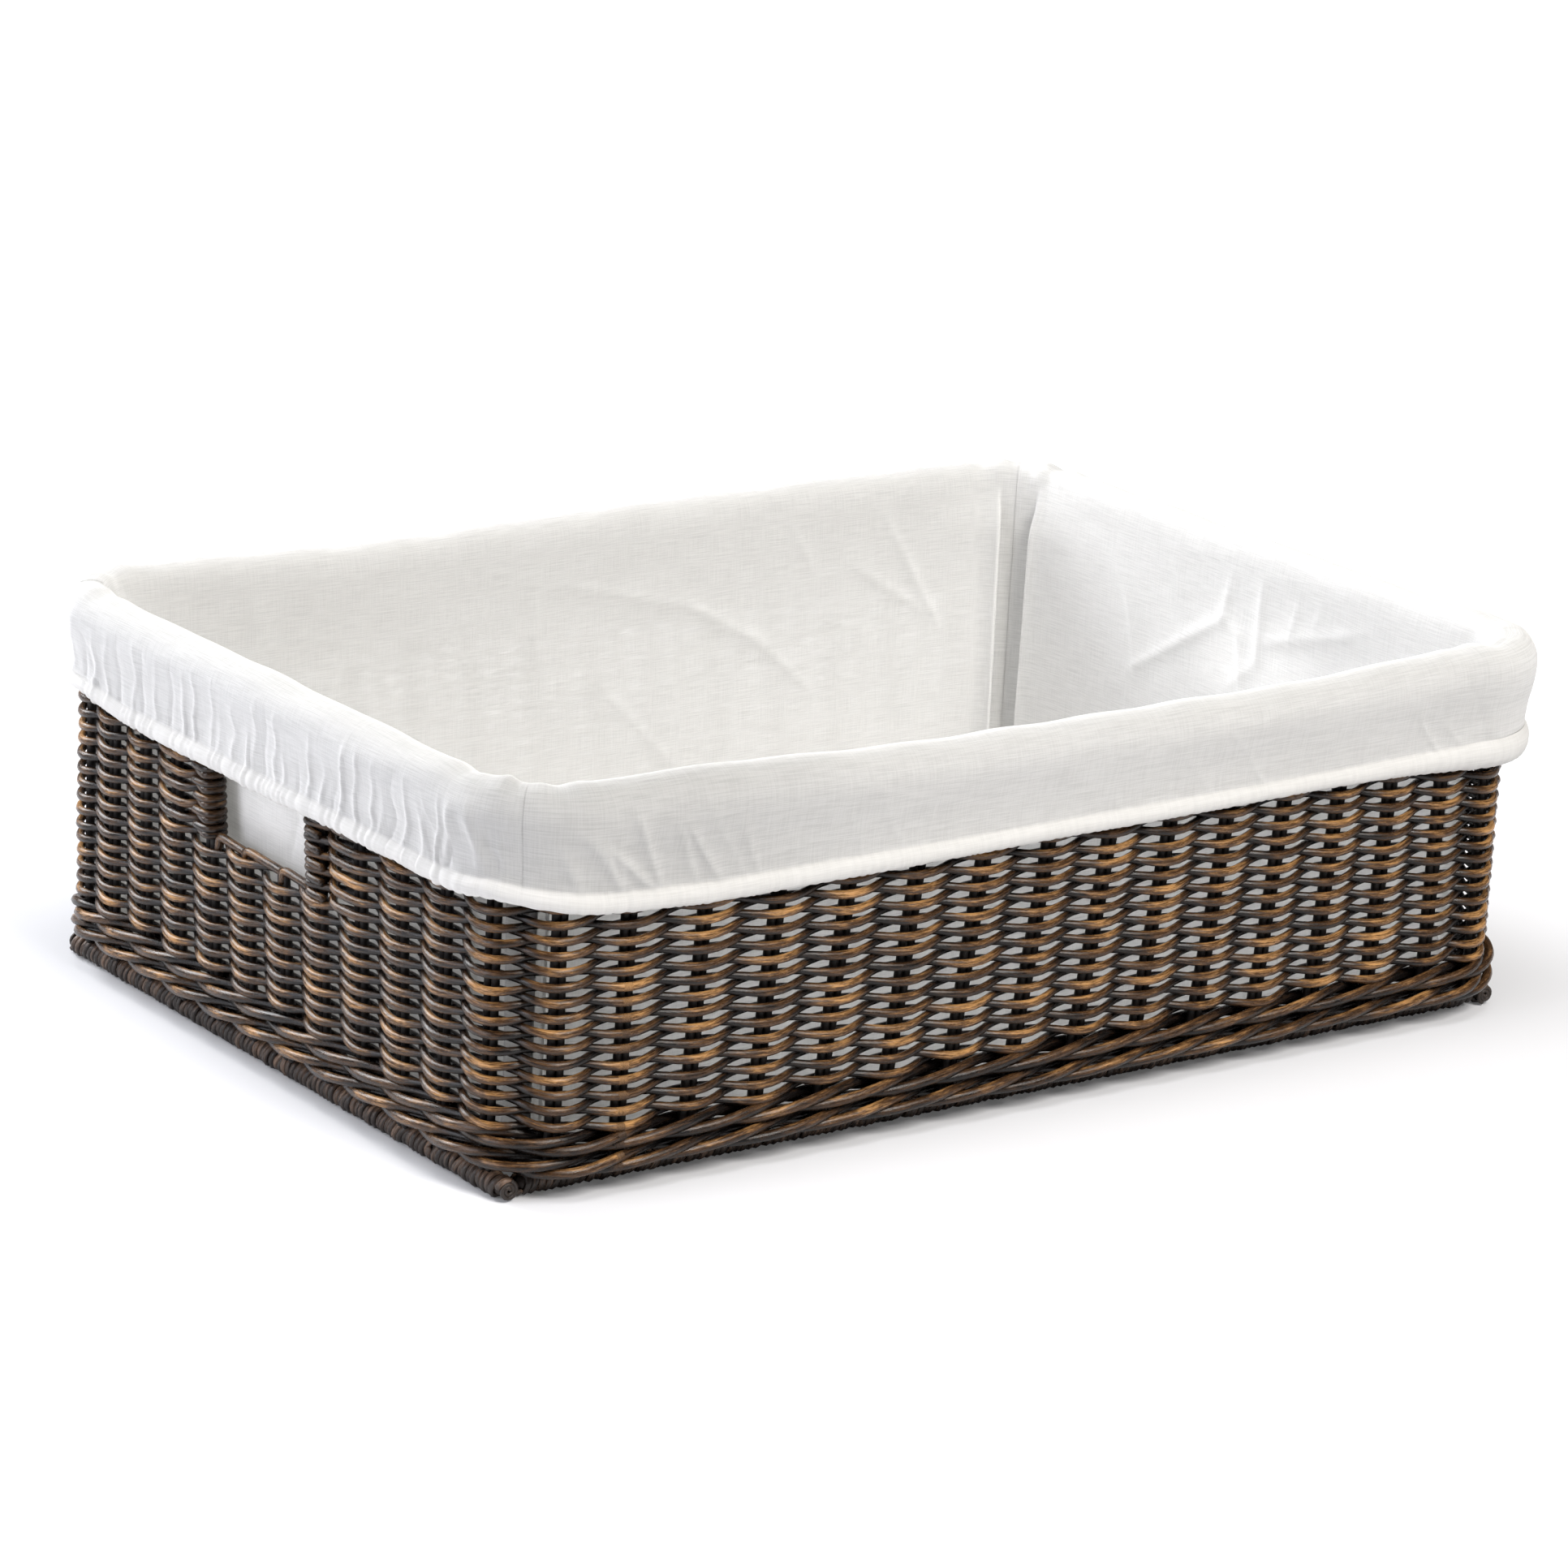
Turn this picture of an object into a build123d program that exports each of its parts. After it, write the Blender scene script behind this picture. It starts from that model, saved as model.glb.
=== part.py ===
"""Rectangular rattan basket with a hand hole in each end and a loose cotton liner.

The frame is +Z up, with X along the long side and the origin under the middle of the base, on the floor.
The wall is woven: upright stakes stand round a wrapped base frame, wale rods bind their feet, and weavers
pass in front of one stake and behind the next, row upon row, up to the rim rail.
The liner is cloth sewn from a floor and four side panels that turn over the rim into a cuff.
"""

import math
import os

from build123d import *

# Stake line: the middle of the wall, seen from above
LENGTH = 620.0
WIDTH = 430.0
CORNER = 40.0
CORNER_FACET_COUNT = 6
RIM_TOP = 200.0

# Stakes: rods of square section, in pairs on the straight walls and single in the corners
LONG_STAKE_COUNT = 14
END_STAKE_COUNT = 10
CORNER_STAKE_COUNT = 2
STAKE_SIZE = 4.2
STAKE_PAIR_GAP = 0.2
LONG_WALL_LEAN = 24.0
END_WALL_LEAN = -18.0

# Base frame: poles with cane wound round them, the end ones under the wale and the long ones a step inside it
RAIL_DIAMETER = 9.0
POLE_SIDE_COUNT = 12
CANE_THICKNESS = 1.7
STANDING_FLAT = 0.5
LONG_RAIL_STEP = 4.4

# Floor: sticks from rail to rail and the woven mat that lies on them
FLOOR_STICK_COUNT = 15
FLOOR_STICK_SIZE = 4.2
FLOOR_THICKNESS = 4.0
FLOOR_CORNER = 50.0

# Foot wale: rods that pass outside two stakes and inside the next two, each one stake behind the last
WALE_ROD_COUNT = 4
WALE_ROD_SIZE = 5.0
STROKE_COUNT = 2

# Weavers: single rows in sight, and broader bands of rows where the cuff covers them
WEAVER_SIZE = 3.62
ROW_GAP = 0.15
OPEN_ROUND_COUNT = 14
BAND_COUNT = 2

# Rim
RIM_RAIL_DIAMETER = 14.0
RIM_SIDE_COUNT = 8

# Hand holes: the wall stops at this row between two posts, with bent-over stakes as a sill
SILL_ROW_COUNT = 19
SIDE_STAKE_COUNT = 3
SILL_ROD_SIZE = 4.4
SILL_ROD_CHAMFER = 1.8
TAIL_SHORT = 1.2

# Liner
CLOTH = 1.0
CUFF_DROP = 59.5
LINER_TAPER = 5.0
RIM_SHOULDER = 3.8
HEM_HEIGHT = 14.0
ELASTIC_HEIGHT = 10.0
ELASTIC_THICKNESS = 1.2

# Clearances
FIT = 0.15
WEAVE_FIT = 0.3
LINER_FIT = 0.5

# Levels and widths that follow from the sizes above
FRAME_RADIUS = RAIL_DIAMETER / 2 + CANE_THICKNESS
FRAME_MIDDLE = FRAME_RADIUS - STANDING_FLAT
FRAME_TOP = FRAME_MIDDLE + FRAME_RADIUS
STAKE_FOOT = FRAME_TOP + FIT
RIM_MIDDLE = RIM_TOP - RIM_RAIL_DIAMETER / 2
STAKE_TOP = RIM_TOP - RIM_RAIL_DIAMETER - FIT
PAIR_WIDTH = 2 * STAKE_SIZE + STAKE_PAIR_GAP
WALE_TOP = STAKE_FOOT + WALE_ROD_COUNT * (WALE_ROD_SIZE + ROW_GAP)
ROW_PITCH = WEAVER_SIZE + ROW_GAP
SILL_LEVEL = WALE_TOP + SILL_ROW_COUNT * ROW_PITCH
OPEN_TOP = WALE_TOP + 2 * OPEN_ROUND_COUNT * ROW_PITCH
BAND_PITCH = (STAKE_TOP - OPEN_TOP) / BAND_COUNT
POST_WIDTH = PAIR_WIDTH + 2 * (WEAVE_FIT + WEAVER_SIZE)


class Station:
    """One place round the wall where a stake, or a pair of stakes, stands."""

    def __init__(self, wall, number, foot, out, lean, half_width):
        self.wall = wall
        self.number = number
        self.foot = foot
        self.out = out
        self.along = (-out[1], out[0])
        self.lean = lean
        self.half_width = half_width

    def at(self, height, outward=0.0, sideways=0.0):
        """Point of the wall beside this stake, outward from the stake line and sideways along it."""
        shift = sideways + self.lean * (height - STAKE_FOOT) / (STAKE_TOP - STAKE_FOOT)
        x = self.foot[0] + self.out[0] * outward + self.along[0] * shift
        y = self.foot[1] + self.out[1] * outward + self.along[1] * shift
        return (x, y)


def straight_wall(name, middle, out, run, count, lean):
    """Stations of one straight wall, in walking order, leaning most in the middle of the wall."""
    along = (-out[1], out[0])
    stations = []
    for number in range(count):
        share = (number + 0.5) / count
        step = (share - 0.5) * run
        foot = (middle[0] + along[0] * step, middle[1] + along[1] * step)
        own_lean = lean * (1 - (2 * share - 1) ** 2)
        stations.append(Station(name, number, foot, out, own_lean, PAIR_WIDTH / 2))
    return stations


def corner_bend(name, centre, first_angle):
    """Stations of the single stakes that go round one corner."""
    stations = []
    for number in range(CORNER_STAKE_COUNT):
        angle = math.radians(first_angle + 90 * (number + 0.5) / CORNER_STAKE_COUNT)
        out = (math.cos(angle), math.sin(angle))
        foot = (centre[0] + CORNER * out[0], centre[1] + CORNER * out[1])
        stations.append(Station(name, number, foot, out, 0.0, STAKE_SIZE / 2))
    return stations


def all_stations():
    """All stations, counter-clockwise from the left end of the front wall."""
    half_x, half_y = LENGTH / 2, WIDTH / 2
    in_x, in_y = half_x - CORNER, half_y - CORNER
    long_run, end_run = 2 * in_x, 2 * in_y
    ring = straight_wall("front", (0, -half_y), (0, -1), long_run, LONG_STAKE_COUNT, LONG_WALL_LEAN)
    ring += corner_bend("corner", (in_x, -in_y), -90)
    ring += straight_wall("right", (half_x, 0), (1, 0), end_run, END_STAKE_COUNT, END_WALL_LEAN)
    ring += corner_bend("corner", (in_x, in_y), 0)
    ring += straight_wall("back", (0, half_y), (0, 1), long_run, LONG_STAKE_COUNT, LONG_WALL_LEAN)
    ring += corner_bend("corner", (-in_x, in_y), 90)
    ring += straight_wall("left", (-half_x, 0), (-1, 0), end_run, END_STAKE_COUNT, END_WALL_LEAN)
    ring += corner_bend("corner", (-in_x, -in_y), 180)
    return ring


STATIONS = all_stations()
COUNT = len(STATIONS)
FIRST_POST = SIDE_STAKE_COUNT
LAST_POST = END_STAKE_COUNT - 1 - SIDE_STAKE_COUNT


def is_post(station):
    """True at the stakes that stand beside a hand hole."""
    return station.wall in ("left", "right") and station.number in (FIRST_POST, LAST_POST)


def is_cut_short(station):
    """True at the stakes that end under a hand hole."""
    return station.wall in ("left", "right") and FIRST_POST < station.number < LAST_POST


def falling_slope(here, there, height, reach, next_reach):
    """How steeply a strand falls away from its crossing of one stake towards the next one's inner side."""
    x0, y0 = here.at(height, reach)
    x1, y1 = there.at(height, -next_reach)
    inward = (x0 - x1) * here.out[0] + (y0 - y1) * here.out[1]
    sideways = (x1 - x0) * here.along[0] + (y1 - y0) * here.along[1]
    return inward / abs(sideways)


def strand_reach(strand, tall):
    """Distance, at each station, from the stake line to the middle of a strand clear of the stakes' edges."""
    touching = STAKE_SIZE / 2 + strand / 2 + WEAVE_FIT
    reach = [touching] * COUNT
    for _ in range(12):
        settled = []
        for index, here in enumerate(STATIONS):
            drift = abs(here.lean) * tall / 2 / (STAKE_TOP - STAKE_FOOT)
            worst = 0.0
            for other in (index - 1, (index + 1) % COUNT):
                for height in (STAKE_FOOT, STAKE_TOP):
                    slope = falling_slope(here, STATIONS[other], height, reach[index], reach[other])
                    worst = max(worst, slope * (here.half_width + drift))
            settled.append(touching + worst)
        reach = settled
    return reach


WEAVER_REACH = strand_reach(WEAVER_SIZE, WEAVER_SIZE)
BAND_REACH = strand_reach(WEAVER_SIZE, BAND_PITCH)
WALE_REACH = strand_reach(WALE_ROD_SIZE, WALE_ROD_SIZE)
WALL_HALF = max(BAND_REACH) + WEAVER_SIZE / 2
WALE_HALF = max(WALE_REACH) + WALE_ROD_SIZE / 2
LINER_HALF = WALL_HALF + LINER_FIT
END_RAIL_INSET = WALE_HALF
LONG_RAIL_INSET = WALE_HALF + LONG_RAIL_STEP


def polygon(points, level):
    """Flat closed outline at one level."""
    return Wire.make_polygon([(x, y, level) for x, y in points], close=True)


def woven_ring(level, size, depth, reach, side):
    """Strand that runs right round the basket; side gives +1 outside and -1 inside a station."""
    middle = level + size / 2
    outer = [s.at(middle, side(i) * reach[i] + depth / 2) for i, s in enumerate(STATIONS)]
    inner = [s.at(middle, side(i) * reach[i] - depth / 2) for i, s in enumerate(STATIONS)]
    face = Face(polygon(outer, level), [polygon(inner, level)])
    return Solid.extrude(face, (0, 0, size))


def post_turn(post, height, side, depth, way, tall):
    """Strand's end turned round the pair of stakes at a hand hole, from its tail to where it leaves the post.

    Two lists of points: those on the strand's outward side and those on its inward side.
    """
    drift = abs(post.lean) * tall / 2 / (STAKE_TOP - STAKE_FOOT)
    near = STAKE_SIZE / 2 + WEAVE_FIT
    beside = PAIR_WIDTH / 2 + WEAVE_FIT + drift
    shell = [(near, beside - TAIL_SHORT), (near, -beside), (-near, -beside), (-near, beside)]
    cover = [(near + depth, beside - TAIL_SHORT), (near + depth, -beside - depth)]
    cover += [(-near - depth, -beside - depth), (-near - depth, beside)]
    inner = [post.at(height, -side * outward, way * along) for outward, along in shell]
    outer = [post.at(height, -side * outward, way * along) for outward, along in cover]
    return (outer, inner) if side > 0 else (inner, outer)


def woven_half(level, size, depth, reach, side, first, last):
    """Strand that runs from the post at one hand hole, round one long wall, to the post at the other."""
    middle = level + size / 2
    walk = [(first + step) % COUNT for step in range((last - first) % COUNT + 1)]
    outer, inner = post_turn(STATIONS[first], middle, side(first), depth, 1, size)
    outer += [STATIONS[i].at(middle, side(i) * reach[i] + depth / 2) for i in walk[1:-1]]
    inner += [STATIONS[i].at(middle, side(i) * reach[i] - depth / 2) for i in walk[1:-1]]
    far_outer, far_inner = post_turn(STATIONS[last], middle, side(last), depth, -1, size)
    outer += far_outer[::-1]
    inner += far_inner[::-1]
    return Solid.extrude(Face(polygon(outer + inner[::-1], level)), (0, 0, size))


def in_and_out(row):
    """Sides of a plain weaver: outside one stake, inside the next, the other way round in the next row."""
    return lambda index: 1 if (index + row) % 2 == 0 else -1


def wale_sides(rod):
    """Sides of a wale rod: outside a stroke of stakes, inside the next stroke."""
    return lambda index: 1 if (index + rod) % (2 * STROKE_COUNT) < STROKE_COUNT else -1


def post_indices():
    """Places in the ring of the four posts: each long wall lies between two of them."""
    right = [i for i, s in enumerate(STATIONS) if s.wall == "right" and is_post(s)]
    left = [i for i, s in enumerate(STATIONS) if s.wall == "left" and is_post(s)]
    return right, left


def weaver_row(row, level, size, reach):
    """One row of weaving: a whole ring under the hand holes' sill, two halves above it."""
    side = in_and_out(row)
    if level + size <= SILL_LEVEL + ROW_GAP:
        return [woven_ring(level, size, WEAVER_SIZE, reach, side)]
    right, left = post_indices()
    front = woven_half(level, size, WEAVER_SIZE, reach, side, left[1], right[0])
    back = woven_half(level, size, WEAVER_SIZE, reach, side, right[1], left[0])
    return [front, back]


def upright(station, bottom, top, width, depth, sideways=0.0):
    """Rod of rectangular section that follows the lean of its station."""
    corners = []
    for outward, along in ((-1, -1), (1, -1), (1, 1), (-1, 1)):
        corners.append((outward * depth / 2, sideways + along * width / 2))
    base = [station.at(bottom, outward, along) for outward, along in corners]
    x0, y0 = station.at(bottom)
    x1, y1 = station.at(top)
    return Solid.extrude(Face(polygon(base, bottom)), (x1 - x0, y1 - y0, top - bottom))


def stakes_at(station):
    """The one or two stakes of a station, cut short where a hand hole is above."""
    top = SILL_LEVEL if is_cut_short(station) else STAKE_TOP
    if station.wall == "corner":
        return [upright(station, STAKE_FOOT, top, STAKE_SIZE, STAKE_SIZE)]
    step = (STAKE_SIZE + STAKE_PAIR_GAP) / 2
    return [upright(station, STAKE_FOOT, top, STAKE_SIZE, STAKE_SIZE, way * step) for way in (-1, 1)]


def sill_rod(start, end, from_post, to_post):
    """Stake bent over to lie along the sill from one station to the next."""
    level = SILL_LEVEL + ROW_GAP
    drift = abs(END_WALL_LEAN) * SILL_ROD_SIZE / (STAKE_TOP - STAKE_FOOT)
    clear = POST_WIDTH / 2 + FIT + drift
    begin = clear if from_post else FIT
    finish = -clear if to_post else -FIT
    half = STAKE_SIZE / 2
    base = [start.at(level, -half, begin), start.at(level, half, begin)]
    base += [end.at(level, half, finish), end.at(level, -half, finish)]
    rod = Solid.extrude(Face(polygon(base, level)), (0, 0, SILL_ROD_SIZE))
    crown = rod.edges().group_by(Axis.Z)[-1].filter_by(Axis.Y, reverse=True)
    return rod.chamfer(SILL_ROD_CHAMFER, None, crown)


def handle_sill(wall):
    """The three bent-over rods under one hand hole."""
    along = [s for s in STATIONS if s.wall == wall and FIRST_POST <= s.number <= LAST_POST]
    rods = []
    for start, end in zip(along, along[1:]):
        rods.append(sill_rod(start, end, is_post(start), is_post(end)))
    return rods


def corner_turn(centre, outward, radius, first, last):
    """Corners of a many-sided bend about a centre, between two steps of the turn."""
    step = 90 / CORNER_FACET_COUNT
    reach = radius / math.cos(math.radians(step / 2))
    points = []
    for number in range(first, last):
        angle = math.radians(outward + step * (number + 0.5))
        points.append((centre[0] + reach * math.cos(angle), centre[1] + reach * math.sin(angle)))
    return points


def rounded_outline(half_x, half_y, radius):
    """Rectangle with many-sided round corners, as a closed list of points."""
    in_x, in_y = half_x - radius, half_y - radius
    centres = [(in_x, -in_y), (in_x, in_y), (-in_x, in_y), (-in_x, -in_y)]
    points = []
    for number, centre in enumerate(centres):
        points += corner_turn(centre, 90 * number - 90, radius, 0, CORNER_FACET_COUNT)
    return points


def round_outline(offset):
    """Outline that follows the stake line at a distance outward, as a closed list of points."""
    return rounded_outline(LENGTH / 2 + offset, WIDTH / 2 + offset, CORNER + offset)


def plate(half_x, half_y, radius, level, thickness):
    """Flat plate with round corners."""
    return Solid.extrude(Face(polygon(rounded_outline(half_x, half_y, radius), level)), (0, 0, thickness))


def pole_section(diameter, sides):
    """Many-sided section of a pole, with a flat at the top and the bottom."""
    return RegularPolygon(diameter / 2, sides, major_radius=False, rotation=180 / sides)


def rail_body(length, diameter, bore=0.0):
    """Pole or sleeve that lies along X, centred on the origin."""
    section = pole_section(diameter, POLE_SIDE_COUNT)
    if bore:
        section -= pole_section(bore, POLE_SIDE_COUNT)
    return extrude(Plane.YZ * section, length / 2, both=True)


def base_frame():
    """Rails and their wound cane, by side: end rails run across, long rails butt between them."""
    end_x = LENGTH / 2 - END_RAIL_INSET
    long_y = WIDTH / 2 - LONG_RAIL_INSET
    end_length = 2 * (long_y + FRAME_RADIUS)
    long_length = 2 * (end_x - FRAME_RADIUS - FIT)
    floor_cut = Pos(0, 0, -LENGTH / 2) * Box(2 * LENGTH, 2 * LENGTH, LENGTH)
    sides = {
        "front": (Pos(0, -long_y, FRAME_MIDDLE), long_length),
        "back": (Pos(0, long_y, FRAME_MIDDLE), long_length),
        "left": (Pos(-end_x, 0, FRAME_MIDDLE) * Rot(0, 0, 90), end_length),
        "right": (Pos(end_x, 0, FRAME_MIDDLE) * Rot(0, 0, 90), end_length),
    }
    rails = {}
    wraps = {}
    for side, (place, length) in sides.items():
        rails[side] = place * rail_body(length, RAIL_DIAMETER)
        wraps[side] = place * rail_body(length, 2 * FRAME_RADIUS, RAIL_DIAMETER) - floor_cut
    return rails, wraps


def floor_parts():
    """Sticks between the long rails, and the mat that lies on them inside the wale."""
    mat_level = FRAME_TOP + FIT
    half_x = LENGTH / 2 - WALE_HALF - FIT
    half_y = WIDTH / 2 - WALE_HALF - FIT
    mat = plate(half_x, half_y, FLOOR_CORNER, mat_level, FLOOR_THICKNESS)
    span = 2 * (WIDTH / 2 - LONG_RAIL_INSET - FRAME_RADIUS - FIT)
    run = 2 * (LENGTH / 2 - END_RAIL_INSET - FRAME_RADIUS)
    level = mat_level - FIT - FLOOR_STICK_SIZE / 2
    sticks = []
    for number in range(FLOOR_STICK_COUNT):
        x = ((number + 0.5) / FLOOR_STICK_COUNT - 0.5) * run
        sticks.append(Pos(x, 0, level) * Box(FLOOR_STICK_SIZE, span, FLOOR_STICK_SIZE))
    return mat, sticks, mat_level + FLOOR_THICKNESS


def rim_rail():
    """Pole bent round the top of the wall, from the middle of the front and back to it."""
    points = [(0, -WIDTH / 2)] + round_outline(0) + [(0, -WIDTH / 2)]
    path = Polyline([(x, y, RIM_MIDDLE) for x, y in points])
    plane = Plane(path @ 0, x_dir=(0, 1, 0), z_dir=(1, 0, 0))
    return sweep(plane * pole_section(RIM_RAIL_DIAMETER, RIM_SIDE_COUNT), path, transition=Transition.RIGHT)


def liner_profile(floor_level):
    """Cross-section of a side panel: up the inside, over the rim and down to the hem, with its channel.

    The first number is the distance outward from the stake line and the second is the height.
    """
    near = LINER_HALF
    top = RIM_TOP + LINER_FIT
    shoulder = top - RIM_RAIL_DIAMETER / 2
    flat = near - RIM_SHOULDER
    hem_bottom = top + CLOTH - CUFF_DROP
    casing = 2 * CLOTH + ELASTIC_THICKNESS + 2 * WEAVE_FIT
    edge = [
        (-near - LINER_TAPER, floor_level),
        (-near, shoulder),
        (-flat, top),
        (flat, top),
        (near, shoulder),
        (near, hem_bottom),
        (near + casing, hem_bottom),
        (near + casing, hem_bottom + HEM_HEIGHT),
        (near + CLOTH, hem_bottom + HEM_HEIGHT),
        (near + CLOTH, shoulder + CLOTH / 2),
        (flat + CLOTH / 2, top + CLOTH),
        (-flat - CLOTH / 2, top + CLOTH),
        (-near - CLOTH, shoulder + CLOTH / 2),
        (-near - LINER_TAPER - CLOTH, floor_level),
    ]
    slack = (HEM_HEIGHT - ELASTIC_HEIGHT) / 2 - WEAVE_FIT
    inner = near + CLOTH
    channel = [
        (inner, hem_bottom + slack),
        (near + casing - CLOTH, hem_bottom + slack),
        (near + casing - CLOTH, hem_bottom + HEM_HEIGHT - slack),
        (inner, hem_bottom + HEM_HEIGHT - slack),
    ]
    return edge, channel, hem_bottom


def liner_panel(edge, channel, outward, run, half_across):
    """Side panel: its profile led along the wall and round half of each corner, up to the seams."""
    centre = half_across - CORNER
    half = CORNER_FACET_COUNT // 2
    far = corner_turn((centre, run / 2), 0, CORNER, 0, half)
    near = [(x, -y) for x, y in far[::-1]]
    reach = CORNER * math.sqrt(0.5)
    seam = (centre + reach, run / 2 + reach)
    points = [(seam[0], -seam[1])] + near + far + [seam]
    path = Polyline([(x, y, 0) for x, y in points])
    plane = Plane((seam[0], -seam[1], 0), x_dir=(1, -1, 0), z_dir=(1, 1, 0))
    outline = make_face(Polyline([(d, -z) for d, z in edge], close=True))
    outline -= make_face(Polyline([(d, -z) for d, z in channel], close=True))
    panel = sweep(plane * outline, path, transition=Transition.RIGHT)
    return Rot(0, 0, outward) * panel


def liner_parts(floor_top):
    """Floor panel, four side panels and the elastic in the hem."""
    level = floor_top + LINER_FIT
    edge, channel, hem_bottom = liner_profile(level)
    long_run = LENGTH - 2 * CORNER
    end_run = WIDTH - 2 * CORNER
    panels = {
        "liner_panel_front": liner_panel(edge, channel, -90, long_run, WIDTH / 2),
        "liner_panel_back": liner_panel(edge, channel, 90, long_run, WIDTH / 2),
        "liner_panel_left": liner_panel(edge, channel, 180, end_run, LENGTH / 2),
        "liner_panel_right": liner_panel(edge, channel, 0, end_run, LENGTH / 2),
    }
    inset = LINER_HALF + LINER_TAPER + CLOTH + FIT
    panels["liner_floor"] = plate(LENGTH / 2 - inset, WIDTH / 2 - inset, CORNER - inset, level, CLOTH)
    inner = LINER_HALF + CLOTH + WEAVE_FIT
    outer = inner + ELASTIC_THICKNESS
    band_level = hem_bottom + (HEM_HEIGHT - ELASTIC_HEIGHT) / 2
    band = Face(polygon(round_outline(outer), band_level), [polygon(round_outline(inner), band_level)])
    panels["hem_elastic"] = Solid.extrude(band, (0, 0, ELASTIC_HEIGHT))
    return panels


def basket_parts():
    """All pieces of the wicker body, by node name."""
    parts = {}
    rails, wraps = base_frame()
    for side in rails:
        parts["base_rail_" + side] = [rails[side]]
        parts["base_wrap_" + side] = [wraps[side]]
    mat, sticks, floor_top = floor_parts()
    parts["floor_mat"] = [mat]
    parts["floor_sticks"] = sticks
    for wall in ("front", "back", "left", "right", "corner"):
        rods = []
        for station in STATIONS:
            if station.wall == wall:
                rods += stakes_at(station)
        parts["stakes_" + wall] = rods
    for rod in range(WALE_ROD_COUNT):
        level = STAKE_FOOT + rod * (WALE_ROD_SIZE + ROW_GAP)
        ring = woven_ring(level, WALE_ROD_SIZE, WALE_ROD_SIZE, WALE_REACH, wale_sides(rod))
        parts["wale_rod_%d" % (rod + 1)] = [ring]
    for number in range(OPEN_ROUND_COUNT):
        rows = []
        for row in (2 * number, 2 * number + 1):
            rows += weaver_row(row, WALE_TOP + row * ROW_PITCH, WEAVER_SIZE, WEAVER_REACH)
        parts["weaver_round_%02d" % (number + 1)] = rows
    for band in range(BAND_COUNT):
        rows = weaver_row(band, OPEN_TOP + band * BAND_PITCH, BAND_PITCH - ROW_GAP, BAND_REACH)
        parts["covered_weave_%d" % (band + 1)] = rows
    for wall in ("left", "right"):
        parts["handle_sill_" + wall] = handle_sill(wall)
    parts["rim_rail"] = [rim_rail()]
    return parts, floor_top


def main():
    os.makedirs("parts", exist_ok=True)
    parts, floor_top = basket_parts()
    for name, solid in liner_parts(floor_top).items():
        parts[name] = [solid]
    for name, solids in parts.items():
        shape = solids[0] if len(solids) == 1 else Compound(children=solids)
        export_step(shape, "parts/%s.step" % name)
    print("nodes", len(parts), "half thickness of weave %.2f and wale %.2f" % (WALL_HALF, WALE_HALF))
    print("sill %.1f" % SILL_LEVEL, "weave in sight up to %.1f" % OPEN_TOP, "stake top %.1f" % STAKE_TOP)


main()
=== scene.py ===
# %% [markdown]
# # A lined cane basket
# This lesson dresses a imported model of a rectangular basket. The model brings every piece as a plain
# solid. Here each of them gets the shape and finish that a hand would feel: round cane, wound poles, and
# a loose cotton liner that is gathered over the rim. Everything is in metres, with Z up, X along the long
# side and the origin on the floor under the basket.

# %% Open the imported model
import math

import bpy
import numpy as np
from mathutils import Matrix, Vector


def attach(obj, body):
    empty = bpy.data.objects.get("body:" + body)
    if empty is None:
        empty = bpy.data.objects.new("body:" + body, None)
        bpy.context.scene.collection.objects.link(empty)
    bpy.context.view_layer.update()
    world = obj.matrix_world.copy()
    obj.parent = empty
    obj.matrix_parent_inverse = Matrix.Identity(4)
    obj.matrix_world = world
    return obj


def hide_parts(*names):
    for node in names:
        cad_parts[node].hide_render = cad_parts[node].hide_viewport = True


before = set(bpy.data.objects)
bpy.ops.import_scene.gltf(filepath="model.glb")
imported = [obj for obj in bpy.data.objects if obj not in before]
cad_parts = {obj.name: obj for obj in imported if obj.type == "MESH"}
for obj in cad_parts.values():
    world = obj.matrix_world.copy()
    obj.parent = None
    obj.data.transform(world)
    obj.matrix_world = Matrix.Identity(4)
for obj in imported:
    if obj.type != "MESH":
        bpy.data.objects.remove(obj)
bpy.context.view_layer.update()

print("nodes in the model:", len(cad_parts))

# %% [markdown]
# ## The line that the wall follows
# A woven wall has no surface of its own. What decides its shape is the line of upright stakes: a
# rectangle with round corners. So the first helper walks along that line. It could be a curve object that
# is sampled afterwards, but four straight runs and four quarter circles are exact and quick to write
# down.

# %% Walk along the stake line
HALF_LONG, HALF_SHORT, BEND = 0.310, 0.215, 0.040
LONG_RUN, SHORT_RUN, TURN = 2 * (HALF_LONG - BEND), 2 * (HALF_SHORT - BEND), BEND * math.pi / 2
LAP = 2 * LONG_RUN + 2 * SHORT_RUN + 4 * TURN


def walk_line(distance, outward=0.0):
    """Points on the stake line, moved outward, and the outward directions, from the front's left end."""
    s = np.mod(np.asarray(distance, float), LAP)
    place = np.zeros(s.shape + (2,))
    away = np.zeros(s.shape + (2,))
    start = 0.0
    for side in range(4):
        angle = side * math.pi / 2
        along = np.array([math.cos(angle), math.sin(angle)])
        out = np.array([math.sin(angle), -math.cos(angle)])
        run = LONG_RUN if side % 2 == 0 else SHORT_RUN
        deep = HALF_SHORT if side % 2 == 0 else HALF_LONG
        here = (s >= start) & (s <= start + run)
        place[here] = out * deep + along * (s[here] - start - run / 2)[:, None]
        away[here] = out
        start += run
        here = (s > start) & (s < start + TURN)
        turn = angle - math.pi / 2 + (s[here] - start) / BEND
        ring = np.stack([np.cos(turn), np.sin(turn)], 1)
        place[here] = out * (deep - BEND) + along * (run / 2) + ring * BEND
        away[here] = ring
        start += TURN
    return place + away * np.asarray(outward, float)[..., None], away


print("one lap of the wall is %.3f m" % LAP)

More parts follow.
